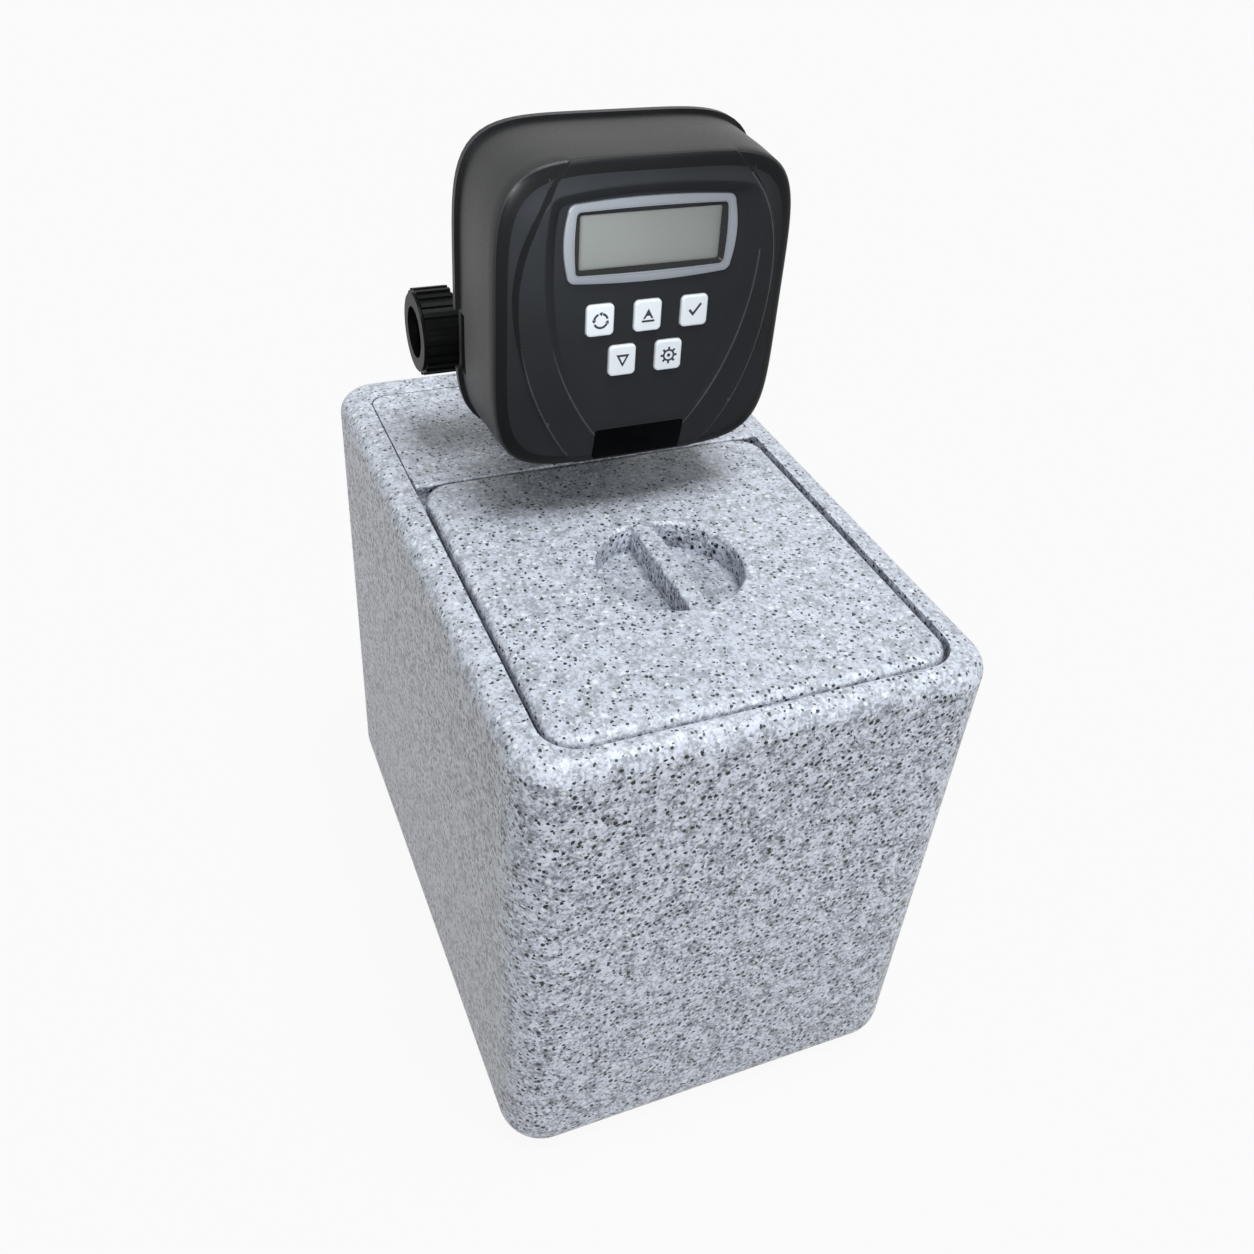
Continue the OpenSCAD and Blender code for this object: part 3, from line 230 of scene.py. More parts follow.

# The three top colours are a painted sheen: paler, lower-contrast ground, shade and specks for upward faces.
granite_colors = {"Ground Color": (0.745, 0.78, 0.87, 1), "Shade Color": (0.19, 0.203, 0.235, 1),
                  "Fleck Color": (0.92, 0.94, 0.97, 1), "Speck Color": (0.004, 0.0042, 0.005, 1),
                  "Top Sheen Ground": (0.69, 0.73, 0.82, 1), "Top Sheen Shade": (0.36, 0.385, 0.42, 1),
                  "Top Sheen Speck": (0.05, 0.052, 0.056, 1)}
speckle, speckle_in, speckle_out = new_group("granite_speckle",
    [(label, "NodeSocketColor", color) for label, color in granite_colors.items()],
    [("Color", "NodeSocketColor"), ("Roughness", "NodeSocketFloat"), ("Height", "NodeSocketFloat")])
colors = speckle_in.outputs
stand = place(speckle, "ShaderNodeTexCoord").outputs["Object"]
where = place(speckle, "ShaderNodeSeparateXYZ", {0: stand}).outputs
facing = place(speckle, "ShaderNodeNewGeometry").outputs["Normal"]
turned = place(speckle, "ShaderNodeSeparateXYZ", {0: facing}).outputs
# Upward faces blend to the painted sheen colours and also take their own finer grain populations.
top_sheen_and_grain = fade(speckle, turned["Z"], 0.2, 0.8)
pale = blend(speckle, top_sheen_and_grain, colors["Ground Color"], colors["Top Sheen Ground"])
shade = blend(speckle, top_sheen_and_grain, colors["Shade Color"], colors["Top Sheen Shade"])
black = blend(speckle, top_sheen_and_grain, colors["Speck Color"], colors["Top Sheen Speck"])

here = scaled(speckle, stand, pattern_scale)
wander = noise(speckle, here, 420.0, 1.0)["Color"]
middle = (0.5, 0.5, 0.5)
pull = place(speckle, "ShaderNodeVectorMath", {0: wander, 1: middle}, operation="SUBTRACT").outputs[0]
shift = scaled(speckle, pull, grain_wander)
spot = place(speckle, "ShaderNodeVectorMath", {0: here, 1: shift}, operation="ADD").outputs[0]
cloud = noise(speckle, here, 120.0, 2.0)[0]
stroke = noise(speckle, spot, 460.0, 2.0, 0.6)[0]
mottle = compute(speckle, "ADD", compute(speckle, "MULTIPLY", cloud, cloud_weight), stroke)
dark = fade(speckle, mottle, 0.63, 0.91, 1.0, 0.0)

outside = compute(speckle, "GREATER_THAN", compute(speckle, "ABSOLUTE", where["X"]), side_from)
side_wall = fade(speckle, compute(speckle, "ABSOLUTE", turned["X"]), 0.85, 1.0, 0.0, 0.3)
side_share = compute(speckle, "MULTIPLY", side_wall, outside)
wall_share = fade(speckle, top_sheen_and_grain, 0.0, 0.6, 1.0, 0.0)
top_share = fade(speckle, top_sheen_and_grain, 0.4, 1.0, 0.0, 0.75)
mid_share = fade(speckle, top_sheen_and_grain, at_start=0.7, at_end=1.0)
fleck = grains(speckle, spot, 190.0, 0.36, 0.12, 0.8)
wall_speck = grains(speckle, spot, 255.0, 0.367, 0.03, wall_share)
top_speck = grains(speckle, spot, 305.0, 0.35, 0.03, top_share)
side_speck = grains(speckle, spot, 130.0, 0.38, 0.06, side_share)
mid_speck = grains(speckle, spot, 330.0, 0.36, 0.1, mid_share)
tone = blend(speckle, dark, pale, shade)
tone = blend(speckle, compute(speckle, "MULTIPLY", mid_speck, mid_strength), tone, shade)
tone = blend(speckle, compute(speckle, "MULTIPLY", fleck, fleck_strength), tone, colors["Fleck Color"])
tone = blend(speckle, compute(speckle, "MAXIMUM", wall_speck, top_speck), tone, black)
tone = blend(speckle, compute(speckle, "MULTIPLY", side_speck, side_strength), tone, black)

# Painted shade in the grip: upward faces below the lid's top are darkened.
sunken = fade(speckle, where["Z"], sunken_from, sunken_to)
grip_floor_shade = fade(speckle, compute(speckle, "MULTIPLY", sunken, top_sheen_and_grain), at_start=1.0, at_end=painted_floor_shade)
# Painted shade: the colour is scaled down towards the ground, standing in for light falling off low down.
foot = fade(speckle, where["Z"], 0.0, foot_height, painted_foot_shade, 1.0)
tone = scaled(speckle, tone, compute(speckle, "MULTIPLY", grip_floor_shade, foot))
speckle.links.new(tone, speckle_out.inputs["Color"])
speckle.links.new(fade(speckle, cloud, at_start=0.28, at_end=0.42), speckle_out.inputs["Roughness"])
speckle.links.new(noise(speckle, here, 300.0, 2.0)[0], speckle_out.inputs["Height"])


def bumped(tree, height, strength, depth, **fields):
    return place(tree, "ShaderNodeBump",
                 {"Height": height, "Strength": strength, "Distance": depth}, **fields).outputs[0]


granite, tree, skin = new_paint("granite_moulding", Specular_IOR_Level=0.4)
grit = place(tree, "ShaderNodeGroup", node_tree=speckle).outputs
tree.links.new(grit["Color"], skin.inputs["Base Color"])
tree.links.new(grit["Roughness"], skin.inputs["Roughness"])
tree.links.new(bumped(tree, grit["Height"], 0.6, 0.6 * mm), skin.inputs["Normal"])
dress(granite, "cabinet", "rear_cover", "salt_lid")


# Black fittings. Overflow, hose fittings, caps and the vessel's foot are moulded
# in black nylon or polypropylene; they screw, clip or plug into their places.
grain, grain_in, grain_out = new_group("moulded_grain",
    [("Color", "NodeSocketColor", (0.5, 0.5, 0.5, 1)), ("Roughness", "NodeSocketFloat", 0.5),
     ("Grain Scale", "NodeSocketFloat", 900.0), ("Blotch", "NodeSocketFloat", 0.25)],
    [("Color", "NodeSocketColor"), ("Roughness", "NodeSocketFloat"), ("Height", "NodeSocketFloat")])
here = place(grain, "ShaderNodeTexCoord").outputs["Object"]
fine = noise(grain, here, grain_in.outputs["Grain Scale"], 2.0)[0]
broad = noise(grain, here, 22.0, 3.0)[0]
low = compute(grain, "SUBTRACT", 1.0, grain_in.outputs["Blotch"])
high = compute(grain, "ADD", 1.0, grain_in.outputs["Blotch"])
tinted = scaled(grain, grain_in.outputs["Color"], fade(grain, broad, 0.3, 0.7, low, high))
rough = compute(grain, "MULTIPLY", fade(grain, fine, 0.3, 0.7, 0.9, 1.12), grain_in.outputs["Roughness"])
grain.links.new(tinted, grain_out.inputs["Color"])
grain.links.new(rough, grain_out.inputs["Roughness"])
grain.links.new(fine, grain_out.inputs["Height"])


def moulded(name, color, roughness, grain_scale=900.0, grain_depth=0.05, blotch=0.2, **surface):
    paint, tree, skin = new_paint(name, **surface)
    texture = place(tree, "ShaderNodeGroup", node_tree=grain)
    texture.inputs["Color"].default_value = (*color, 1)
    texture.inputs["Roughness"].default_value = roughness
    texture.inputs["Grain Scale"].default_value = grain_scale
    texture.inputs["Blotch"].default_value = blotch
    tree.links.new(texture.outputs["Color"], skin.inputs["Base Color"])
    tree.links.new(texture.outputs["Roughness"], skin.inputs["Roughness"])
    relief = bumped(tree, texture.outputs["Height"], 0.5, grain_depth * mm)
    tree.links.new(relief, skin.inputs["Normal"])
    return paint


fitting_black = moulded("fitting_black", (0.024, 0.024, 0.027), 0.42, 700.0, 0.08)
dress(fitting_black, "overflow_elbow", "overflow_nut", "well_cap", "brine_valve", "tube_nut", "brine_elbow",
      "tank_foot", "injector_cap", "drain_elbow")
clip_red = moulded("clip_red", (0.5, 0.025, 0.02), 0.35, 500.0, 0.04)
dress(clip_red, "drain_clip")


# Brine well and its gear. A slotted tube of natural polypropylene keeps the salt off
# the air check, its ball and the float that rides on the pick-up tube.
natural = moulded("natural_plastic", (0.72, 0.72, 0.66), 0.5, 350.0, 0.08, 0.08)
dress(natural, "brine_well", "check_cage", "riser_tube", "lower_basket", "upper_basket", "spacer_stack",
      "main_piston", "turbine_cage")
float_white = moulded("float_white", (0.8, 0.8, 0.78), 0.45, 400.0, 0.06, 0.06)
dress(float_white, "safety_float")
rubber = moulded("rubber", (0.018, 0.018, 0.02), 0.75, 1200.0, 0.05)
dress(rubber, "check_ball", "float_stop", "neck_ring", "port_washers")
tube_clear = moulded("tube_milky", (0.74, 0.76, 0.75), 0.25, 120.0, 0.05, 0.08, Alpha=0.8)
dress(tube_clear, "brine_tube")


# Resin vessel. A polythene liner is wound with glass thread in blue resin, which
# leaves slanting bands on the shell; amber beads fill its lower part.
vessel_blue, tree, skin = new_paint("vessel_blue", Coat_Weight=0.3)
here = place(tree, "ShaderNodeTexCoord").outputs["Object"]
lean = place(tree, "ShaderNodeMapping", {"Vector": here, "Rotation": (0.25, 0.1, 0)})
bands = place(tree, "ShaderNodeTexWave", {"Vector": lean.outputs[0], "Scale": 60.0, "Distortion": 3.0,
              "Detail": 2.0}, bands_direction="Z").outputs[1]
threads = blend(tree, bands, (0.035, 0.07, 0.17, 1), (0.07, 0.12, 0.26, 1))
tree.links.new(threads, skin.inputs["Base Color"])
tree.links.new(fade(tree, bands, at_start=0.3, at_end=0.5), skin.inputs["Roughness"])
tree.links.new(bumped(tree, bands, 0.4, 0.4 * mm), skin.inputs["Normal"])
dress(vessel_blue, "resin_tank")

bead_amber, tree, skin = new_paint("bead_amber", Roughness=0.35)
here = place(tree, "ShaderNodeTexCoord").outputs["Object"]
beads = place(tree, "ShaderNodeTexVoronoi", {"Vector": here, "Scale": 1100.0}).outputs["Distance"]
amber = blend(tree, beads, (0.5, 0.27, 0.07, 1), (0.16, 0.07, 0.015, 1))
tree.links.new(amber, skin.inputs["Base Color"])
tree.links.new(bumped(tree, beads, 0.8, 0.4 * mm, invert=True), skin.inputs["Normal"])
dress(bead_amber, "resin_bed")


# Control valve. Body, cap and union nuts are moulded in glass-filled black plastic
# with a dull skin; split rings are sprung steel, the injector is turned brass.
valve_black = moulded("valve_black", (0.004, 0.0042, 0.0042), 0.36, 480.0, 0.08, 0.3,
                      Specular_IOR_Level=0.06)
dress(valve_black, "valve_body", "drive_cap", "inlet_nut", "outlet_nut")
steel = moulded("plated_steel", (0.6, 0.61, 0.63), 0.32, 220.0, 0.03, 0.1, Metallic=1.0)
dress(steel, "port_rings", "bracket_screws", "drive_motor")
brass = moulded("turned_brass", (0.72, 0.5, 0.2), 0.3, 260.0, 0.03, 0.1, Metallic=1.0)
dress(brass, "injector", "motor_pinion")
turbine_blue = moulded("turbine_blue", (0.03, 0.11, 0.36), 0.35, 500.0, 0.04)
dress(turbine_blue, "meter_turbine")


# Drive. A black bracket screwed to the back plate carries the motor and three
# nylon gears; the last one turns on the cap's hub and draws the piston rod.
bracket_black = moulded("bracket_black", (0.05, 0.05, 0.053), 0.5, 600.0, 0.08)
dress(bracket_black, "drive_bracket", "key_switches", "power_inlet")
gear_nylon = moulded("gear_nylon", (0.78, 0.78, 0.72), 0.42, 500.0, 0.04, 0.06)
dress(gear_nylon, "main_gear", "gear_stage_two", "gear_stage_one")


# Circuit board. Glass-fibre sheet with green lacquer over copper tracks; it carries
# the display and the key switches and is held on the bracket's posts.
board_green, tree, skin = new_paint("board_green", Roughness=0.35, Coat_Weight=0.4)
here = place(tree, "ShaderNodeTexCoord").outputs["Object"]
upright = place(tree, "ShaderNodeMapping", {"Vector": here, "Rotation": (math.radians(90), 0, 0)})
tracks = place(tree, "ShaderNodeTexBrick", {"Vector": upright.outputs[0], "Color1": (0.012, 0.11, 0.045, 1),
               "Color2": (0.014, 0.13, 0.055, 1), "Mortar": (0.035, 0.22, 0.09, 1), "Scale": 1.0,
               "Mortar Size": 0.5 * mm, "Brick Width": 9 * mm, "Row Height": 3 * mm})
raised = bumped(tree, tracks.outputs["Fac"], 0.4, 0.1 * mm)
tree.links.new(tracks.outputs["Color"], skin.inputs["Base Color"])
tree.links.new(raised, skin.inputs["Normal"])
dress(board_green, "circuit_board")


# Back plate. A flat black moulding screwed to the valve; its rim stands a little
# proud of the cover all round and shows as a thin dark line.
plate_black = moulded("plate_black", (0.008, 0.008, 0.009), 0.36, 800.0, 0.05, Specular_IOR_Level=0.2)
dress(plate_black, "back_plate")


# Display cover. One injection moulding of black plastic, grained on the face, satin on
# the sides and polished in the folds, with two creases and a sunken shield for the
# controls. The polished crease walls carry painted shade, and thin painted highlights
# run along the creases and the shield's edge. It clips over the back plate's rim.
cover_low, cover_high = (Vector(corner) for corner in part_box("front_cover"))
head_z = (cover_low.z + cover_high.z) / 2
rear_y = cover_high.y
cover_depth = 73 * mm
face_y = rear_y - cover_depth
back_flare = 2 * mm
side_flare_mid = 1.2 * mm
side_straight = 40 * mm
cover_w = (cover_high.x - cover_low.x) / 2 - back_flare
cover_h = (cover_high.z - cover_low.z) / 2 * cover_w / (cover_w + back_flare)
cover_wall = 3 * mm
squareness = 5.2
edge_in = 9 * mm
edge_depth = 12 * mm
flat_w = cover_w - edge_in
crown = 3.2 * mm
rim_fall = 1.8 * mm
rim_power = 10
rim_slope = (2 * crown + rim_power * rim_fall) / flat_w
edge_fall = edge_depth - crown - rim_fall - rim_slope * edge_in / 2

panel_tilt = math.radians(2.5)
panel_sunk = 1.2 * mm
panel_y = face_y + panel_sunk
panel_below = 68 * mm
panel_z = head_z - panel_below


def panel_point(x, depth, up):
    return Vector((x, panel_y + depth * math.cos(panel_tilt) + up * math.sin(panel_tilt),
                   panel_z - depth * math.sin(panel_tilt) + up * math.cos(panel_tilt)))


def ramp(value, ease=0.25):
    value = min(max(value, 0.0), 1.0)
    steep = 1 / (1 - ease)
    if value < ease:
        return steep * value * value / (2 * ease)
    if value > 1 - ease:
        return 1 - steep * (1 - value) ** 2 / (2 * ease)
    return steep * (value - ease / 2)


def soft_least(values, width):
    least = min(values)
    return least - width * math.log(sum(math.exp((least - value) / width) for value in values))


crease_x = 81 * mm
crease_z = 18 * mm
crease_r_top = 110 * mm
crease_r_low = 175 * mm
fold_w = 3 * mm
fold_drop = 2 * mm


def crease_at(z):
    radius = crease_r_top if z > crease_z else crease_r_low
    return crease_x - radius + math.sqrt(max(radius ** 2 - (z - crease_z) ** 2, 0))


def cheek_drop(x, z):
    out = abs(x) - crease_at(z)
    return fold_drop * ramp(out / fold_w, 0.2)


shield_half = 68 * mm
shield_side_r = 188 * mm
shield_mid = 108 * mm
shield_top = 152 * mm
shield_top_r = 420 * mm
shield_corner = 2.2 * mm
slope_low = 2.4 * mm
slope_more = 6.6 * mm
slope_height = 110 * mm
brow_rise = 3.4 * mm
brow_reach = 20 * mm
brow_from = -30 * mm
brow_height = 140 * mm
floor_soft = 0.5 * mm
rim_margin = 6 * mm


def shield_slope(up):
    return slope_low + slope_more * ramp(up / slope_height)


def inside_shield(x, up):
    side = shield_side_r - math.hypot(abs(x) - (shield_half - shield_side_r), up - shield_mid)
    top = shield_top_r - math.hypot(x, up - (shield_top - shield_top_r))
    return soft_least((side, top), shield_corner)


def sunk(x, z, depth):
    up = z + head_z - panel_z
    inside = inside_shield(x, up)
    brow = brow_rise * ramp(inside / brow_reach + 1, 0.4) * ramp((up - brow_from) / brow_height)
    floor = panel_y + up * math.sin(panel_tilt)
    drop = floor - (face_y + depth - brow)
    drop = (drop + math.hypot(drop, floor_soft)) / 2
    return drop * ramp(inside / shield_slope(up), 0.14) - brow


def cover_size(x, z):
    return (abs(x) ** squareness + abs(z * cover_w / cover_h) ** squareness) ** (1 / squareness)


def cover_face(x, z, inward=0.0):
    size = cover_size(x, z)
    if size <= flat_w:
        share = size / flat_w
        turn = math.pi / 2
        depth = crown * share ** 2 + rim_fall * share ** rim_power
    else:
        over = min((size - flat_w) / edge_in, 1.0)
        turn = math.acos(over)
        depth = crown + rim_fall + rim_slope * edge_in * (over - over * over / 2)
        depth += edge_fall * (1 - math.sin(turn))
    facing = math.sin(turn)
    cheek = cheek_drop(x, z) * facing
    depth += cheek * facing
    if size < flat_w:
        depth += sunk(x, z, depth) * ramp((flat_w - size) / rim_margin)
    depth += inward * facing
    pull = (cheek + inward) * math.cos(turn) / max(math.hypot(x, z), mm)
    return Vector((x - x * pull, face_y + depth, head_z + z - z * pull))


fold_near = (-1.5 * mm, 5.5 * mm)
shield_near = 2 * mm


def near_fold(x, z):
    up = z + head_z - panel_z
    out = abs(x) - crease_at(z)
    inside = inside_shield(x, up)
    on_crease = fold_near[0] < out < fold_near[1]
    return on_crease or -shield_near < inside < shield_slope(up) + shield_near


face_rings = 62
edge_rings = 8
fold_splits = 2
all_rings = face_rings + edge_rings
side_steps = 8
side_y = face_y + edge_depth
side_rings = [side_y + (rear_y - side_y) * (step + 1) / side_steps for step in range(side_steps)]


def side_flare(y):
    middle = rear_y - side_straight
    if y < middle:
        return side_flare_mid * (y - side_y) / (middle - side_y)
    return side_flare_mid + (back_flare - side_flare_mid) * (y - middle) / (rear_y - middle)


def ring_size(ring):
    if ring <= face_rings:
        return flat_w * ring / face_rings
    return cover_w - edge_in * (1 - math.cos(math.pi / 2 * (1 - (ring - face_rings) / edge_rings)))


def outline_spot(angle, size):
    across, upward = math.cos(angle), math.sin(angle)
    reach = size / cover_size(across, upward)
    return reach * across, reach * upward


def cover_skin(stride, inward):
    span = all_rings // stride
    spots, index, faces = [], {}, []
    for i in range(-span, span + 1):
        for j in range(-span, span + 1):
            index[i, j] = len(spots)
            x, z = outline_spot(math.atan2(j, i), ring_size(max(abs(i), abs(j)) * stride))
            spots.append((x, 0.0, z))
    for i in range(-span, span):
        for j in range(-span, span):
            faces.append((index[i, j], index[i + 1, j], index[i + 1, j + 1], index[i, j + 1]))
    rim = [(span, k) for k in range(-span, span)] + [(-k, span) for k in range(-span, span)]
    rim += [(-span, -k) for k in range(-span, span)] + [(k, -span) for k in range(-span, span)]
    ring = [index[spot] for spot in rim]
    if stride == 1:
        flat = bmesh.new()
        corners = [flat.verts.new(spot) for spot in spots]
        for face in faces:
            flat.faces.new([corners[k] for k in face])
        flat.edges.index_update()
        for _ in range(fold_splits):
            folds = [edge for edge in flat.edges if not edge.is_boundary
                     and all(near_fold(vert.co.x, vert.co.z) for vert in edge.verts)]
            bmesh.ops.subdivide_edges(flat, edges=folds, cuts=1, use_grid_fill=True)
        flat.verts.index_update()
        found = {(round(vert.co.x, 6), round(vert.co.z, 6)): vert.index for vert in flat.verts}
        ring = [found[round(spots[k][0], 6), round(spots[k][2], 6)] for k in ring]
        spots = [tuple(vert.co) for vert in flat.verts]
        faces = [tuple(vert.index for vert in face.verts) for face in flat.faces]
        flat.free()
    points = [cover_face(x, z, inward) for x, _, z in spots]
    for y in side_rings:
        lower = len(points)
        for i, j in rim:
            x, z = outline_spot(math.atan2(j, i), cover_w + side_flare(y) - inward)
            points.append(Vector((x, y, head_z + z)))
        for k in range(len(rim)):
            after = (k + 1) % len(rim)
            faces.append((ring[k], lower + k, lower + after, ring[after]))
        ring = list(range(lower, lower + len(rim)))
    return points, faces, ring


def mesh_piece(name, points, faces, body, *paints):
    mesh = bpy.data.meshes.new(name)
    mesh.from_pydata([tuple(point) for point in points], [], faces)
    for paint in paints:
        mesh.materials.append(paint)
    mesh.validate()
    piece = bpy.data.objects.new(name, mesh)
    bpy.context.scene.collection.objects.link(piece)
    if body:
        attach(piece, body)
    return piece


def smooth(piece, angle):
    piece.data.polygons.foreach_set("use_smooth", [True] * len(piece.data.polygons))
    piece.data.set_sharp_from_angle(angle=math.radians(angle))


outer_points, outer_faces, outer_rim = cover_skin(1, 0.0)
inner_points, inner_faces, inner_rim = cover_skin(2, cover_wall)
shift_by = len(outer_points)
shell_points = outer_points + inner_points
shell_faces = outer_faces + [tuple(shift_by + k for k in reversed(face)) for face in inner_faces]
for k in range(len(inner_rim)):
    after = (k + 1) % len(inner_rim)
    shell_faces.append((outer_rim[2 * k], shift_by + inner_rim[k], shift_by + inner_rim[after],
                        outer_rim[(2 * k + 2) % len(outer_rim)], outer_rim[2 * k + 1]))


def soft_rectangle(width, height, corner, bow_x=0.0, bow_z=0.0, corner_steps=8, edge_steps=16):
    outline = []
    for quarter in range(4):
        sign_x = 1 if quarter in (0, 3) else -1
        sign_z = 1 if quarter < 2 else -1
        for step in range(corner_steps + 1):
            angle = math.radians(90) * (quarter + step / corner_steps)
            outline.append((sign_x * (width / 2 - corner) + corner * math.cos(angle),
                            sign_z * (height / 2 - corner) + corner * math.sin(angle)))
        level_edge = quarter % 2 == 0
        run = width / 2 - corner if level_edge else height / 2 - corner
        for step in range(1, edge_steps):
            along = 1 - 2 * step / edge_steps
            bulge = 1 - along * along
            if level_edge:
                outline.append((sign_x * run * along, sign_z * (height / 2 + bow_z * bulge)))
            else:
                outline.append((sign_x * (width / 2 + bow_x * bulge), sign_z * run * along))
    return outline


def loft(rings, closed_front=True, closed_back=True, start=0):
    points = [point for ring in rings for point in ring]
    count = len(rings[0])
    faces = []
    for layer in range(len(rings) - 1):
        for k in range(count):
            after = (k + 1) % count
            first, second = start + layer * count, start + (layer + 1) * count
            faces.append((first + k, second + k, second + after, first + after))
    if closed_front:
        faces.append(tuple(start + k for k in range(count)))
    if closed_back:
        faces.append(tuple(start + (len(rings) - 1) * count + k for k in reversed(range(count))))
    return points, faces


display_w = 93 * mm
display_h = 34.5 * mm
display_up = 117.5 * mm
key_w = 17.6 * mm
key_h = 19.4 * mm
key_corner = 3 * mm
key_gap = 0.4 * mm
key_pitch = 30.5 * mm
key_row_top = 71.5 * mm
key_row_low = 44.8 * mm
key_places = {"cycle": (-key_pitch, key_row_top), "up": (0, key_row_top), "tick": (key_pitch, key_row_top),
              "down": (-key_pitch / 2, key_row_low), "gear": (key_pitch / 2, key_row_low)}
label_w = 60 * mm
label_h = 22 * mm
label_t = 1.4 * mm
label_tilt = math.radians(6.5)
label_sunk = 3.7 * mm
label_y = face_y + label_sunk
label_below = 80.5 * mm
label_z = head_z - label_below


def label_point(x, depth, up):
    return Vector((x, label_y + depth * math.cos(label_tilt) - up * math.sin(label_tilt),
                   label_z + depth * math.sin(label_tilt) + up * math.cos(label_tilt)))


bezel_hole_more = 6.6 * mm
bezel_hole_corner = 3.3 * mm
panel_cut = (-30 * mm, 10 * mm)
label_cut = (-20 * mm, label_t)
label_gap = 0.3 * mm
label_corner = 2 * mm
notch_w = 14 * mm
notch_h = 40 * mm
notch_corner = 2 * mm
notch_out = 6 * mm
notch_z = head_z - 33 * mm
notch_cut = (rear_y - 10 * mm, rear_y + 5 * mm)

bezel_hole = soft_rectangle(display_w + bezel_hole_more, display_h + bezel_hole_more, bezel_hole_corner)
key_hole = soft_rectangle(key_w + 2 * key_gap, key_h + 2 * key_gap, key_corner + key_gap)
label_hole = soft_rectangle(label_w + 2 * label_gap, label_h + 2 * label_gap, label_corner + label_gap)
notch = soft_rectangle(notch_w, notch_h, notch_corner)
holes = [[[panel_point(x, depth, display_up + z) for x, z in bezel_hole] for depth in panel_cut]]
for place_x, place_up in key_places.values():
    holes.append([[panel_point(place_x + x, depth, place_up + z) for x, z in key_hole]
                  for depth in panel_cut])
holes.append([[label_point(x, depth, z) for x, z in label_hole] for depth in label_cut])
for side in (-1, 1):
    holes.append([[Vector((side * (cover_w + notch_out) + x, y, notch_z + z)) for x, z in notch]
                  for y in notch_cut])
cut_points, cut_faces = [], []
for rings in holes:
    points, faces = loft(rings, start=len(cut_points))
    cut_points += points
    cut_faces += faces

grained = moulded("cover_grained", (0.0255, 0.027, 0.0295), 0.5, 1500.0, 0.12, 0.08, Specular_IOR_Level=0.02)
satin = moulded("cover_satin", (0.014, 0.0141, 0.014), 0.4, 900.0, 0.02, 0.08, Specular_IOR_Level=0.26)
# Polished: a smooth finish painted darker than the grain; on the crease walls that dark band is painted
# shade.
polished_and_shaded = moulded("cover_polished_and_shaded", (0.008, 0.0083, 0.009), 0.3, 900.0, 0.01, 0.08, Specular_IOR_Level=0.08)
# Painted highlight: a paler paint for thin lines along the creases and the shield's edge.
painted_highlight = moulded("cover_painted_highlight", (0.06, 0.063, 0.068), 0.4, 900.0, 0.02, 0.08, Specular_IOR_Level=0.1)
shell = mesh_piece("cover_blank", shell_points, shell_faces, None, grained, satin, polished_and_shaded, painted_highlight)
cutter = mesh_piece("cover_holes", cut_points, cut_faces, None, grained)
finish_grained, finish_satin, finish_polished_and_shaded, finish_painted_highlight = range(4)
satin_from = face_y + 10 * mm
painted_highlight_half = 0.5 * mm
painted_highlight_off = 0.2 * mm
painted_highlight_fade = 40 * mm
crease_shade_least = 0.25
crease_shade_from = -45 * mm
crease_shade_height = 70 * mm
polished_edge = 2 * mm


def cover_finish(middle):
    x, z = middle.x, middle.z - head_z
    if middle.y > satin_from:
        return finish_satin
    size = cover_size(x, z)
    out = abs(x) - crease_at(z)
    inside = inside_shield(x, middle.z - panel_z)
    # Painted highlight: full length on the right, only on the lower part on the left; along the shield only
    # below the middle.
    painted_highlight_w = painted_highlight_half * (1 if x > 0 else ramp(-z / painted_highlight_fade))
    on_crease = abs(out - painted_highlight_off) < painted_highlight_w
    on_shield = z < painted_highlight_fade and abs(inside - painted_highlight_off) < painted_highlight_w
    if size < flat_w and (on_crease or on_shield):
        return finish_painted_highlight
    # Painted shade: the dark polished band on the crease walls is narrow at the bottom and widens towards
    # the top.
    grown = ramp((z - crease_shade_from) / crease_shade_height)
    crease_shade_w = fold_w * (crease_shade_least + (1 - crease_shade_least) * grown)
    if size > flat_w + polished_edge or 0 < out < crease_shade_w:
        return finish_polished_and_shaded
    return finish_grained


shell.data.polygons.foreach_set("material_index",
                                [cover_finish(face.center) for face in shell.data.polygons])
opening = shell.modifiers.new("openings", "BOOLEAN")
opening.operation = "DIFFERENCE"
opening.solver = "EXACT"
opening.object = cutter
bpy.context.view_layer.update()
cut_mesh = bpy.data.meshes.new_from_object(shell.evaluated_get(bpy.context.evaluated_depsgraph_get()))
cut_mesh.name = "display_cover"
cover = bpy.data.objects.new("display_cover", cut_mesh)
bpy.context.scene.collection.objects.link(cover)
bpy.data.objects.remove(shell)
bpy.data.objects.remove(cutter)
smooth(cover, 55)
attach(cover, "softener")
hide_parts("front_cover")


# Display. The blank grey-green glass sits on the board behind a clear window; a bezel
# with bowed sides drops into the panel round it, satin silver outside with a groove
# and a bead, and black where its inner frame slopes down to the window.
display_grey, tree, skin = new_paint("display_grey", Roughness=0.4, Specular_IOR_Level=0.3)
here = place(tree, "ShaderNodeTexCoord").outputs["Object"]
polar = blend(tree, noise(tree, here, 40.0, 2.0)[0], (0.165, 0.174, 0.16, 1), (0.188, 0.198, 0.182, 1))
tree.links.new(polar, skin.inputs["Base Color"])
dress(display_grey, "lcd_panel")

window_clear, tree, skin = new_paint("window_clear", Alpha=0.07, Specular_IOR_Level=0.3)
here = place(tree, "ShaderNodeTexCoord").outputs["Object"]
haze = noise(tree, here, 30.0, 2.0)[0]
tree.links.new(fade(tree, haze, at_start=0.04, at_end=0.12), skin.inputs["Roughness"])
clear = blend(tree, haze, (0.8, 0.82, 0.8, 1), (0.86, 0.88, 0.86, 1))
tree.links.new(clear, skin.inputs["Base Color"])
dress(window_clear, "lcd_window")

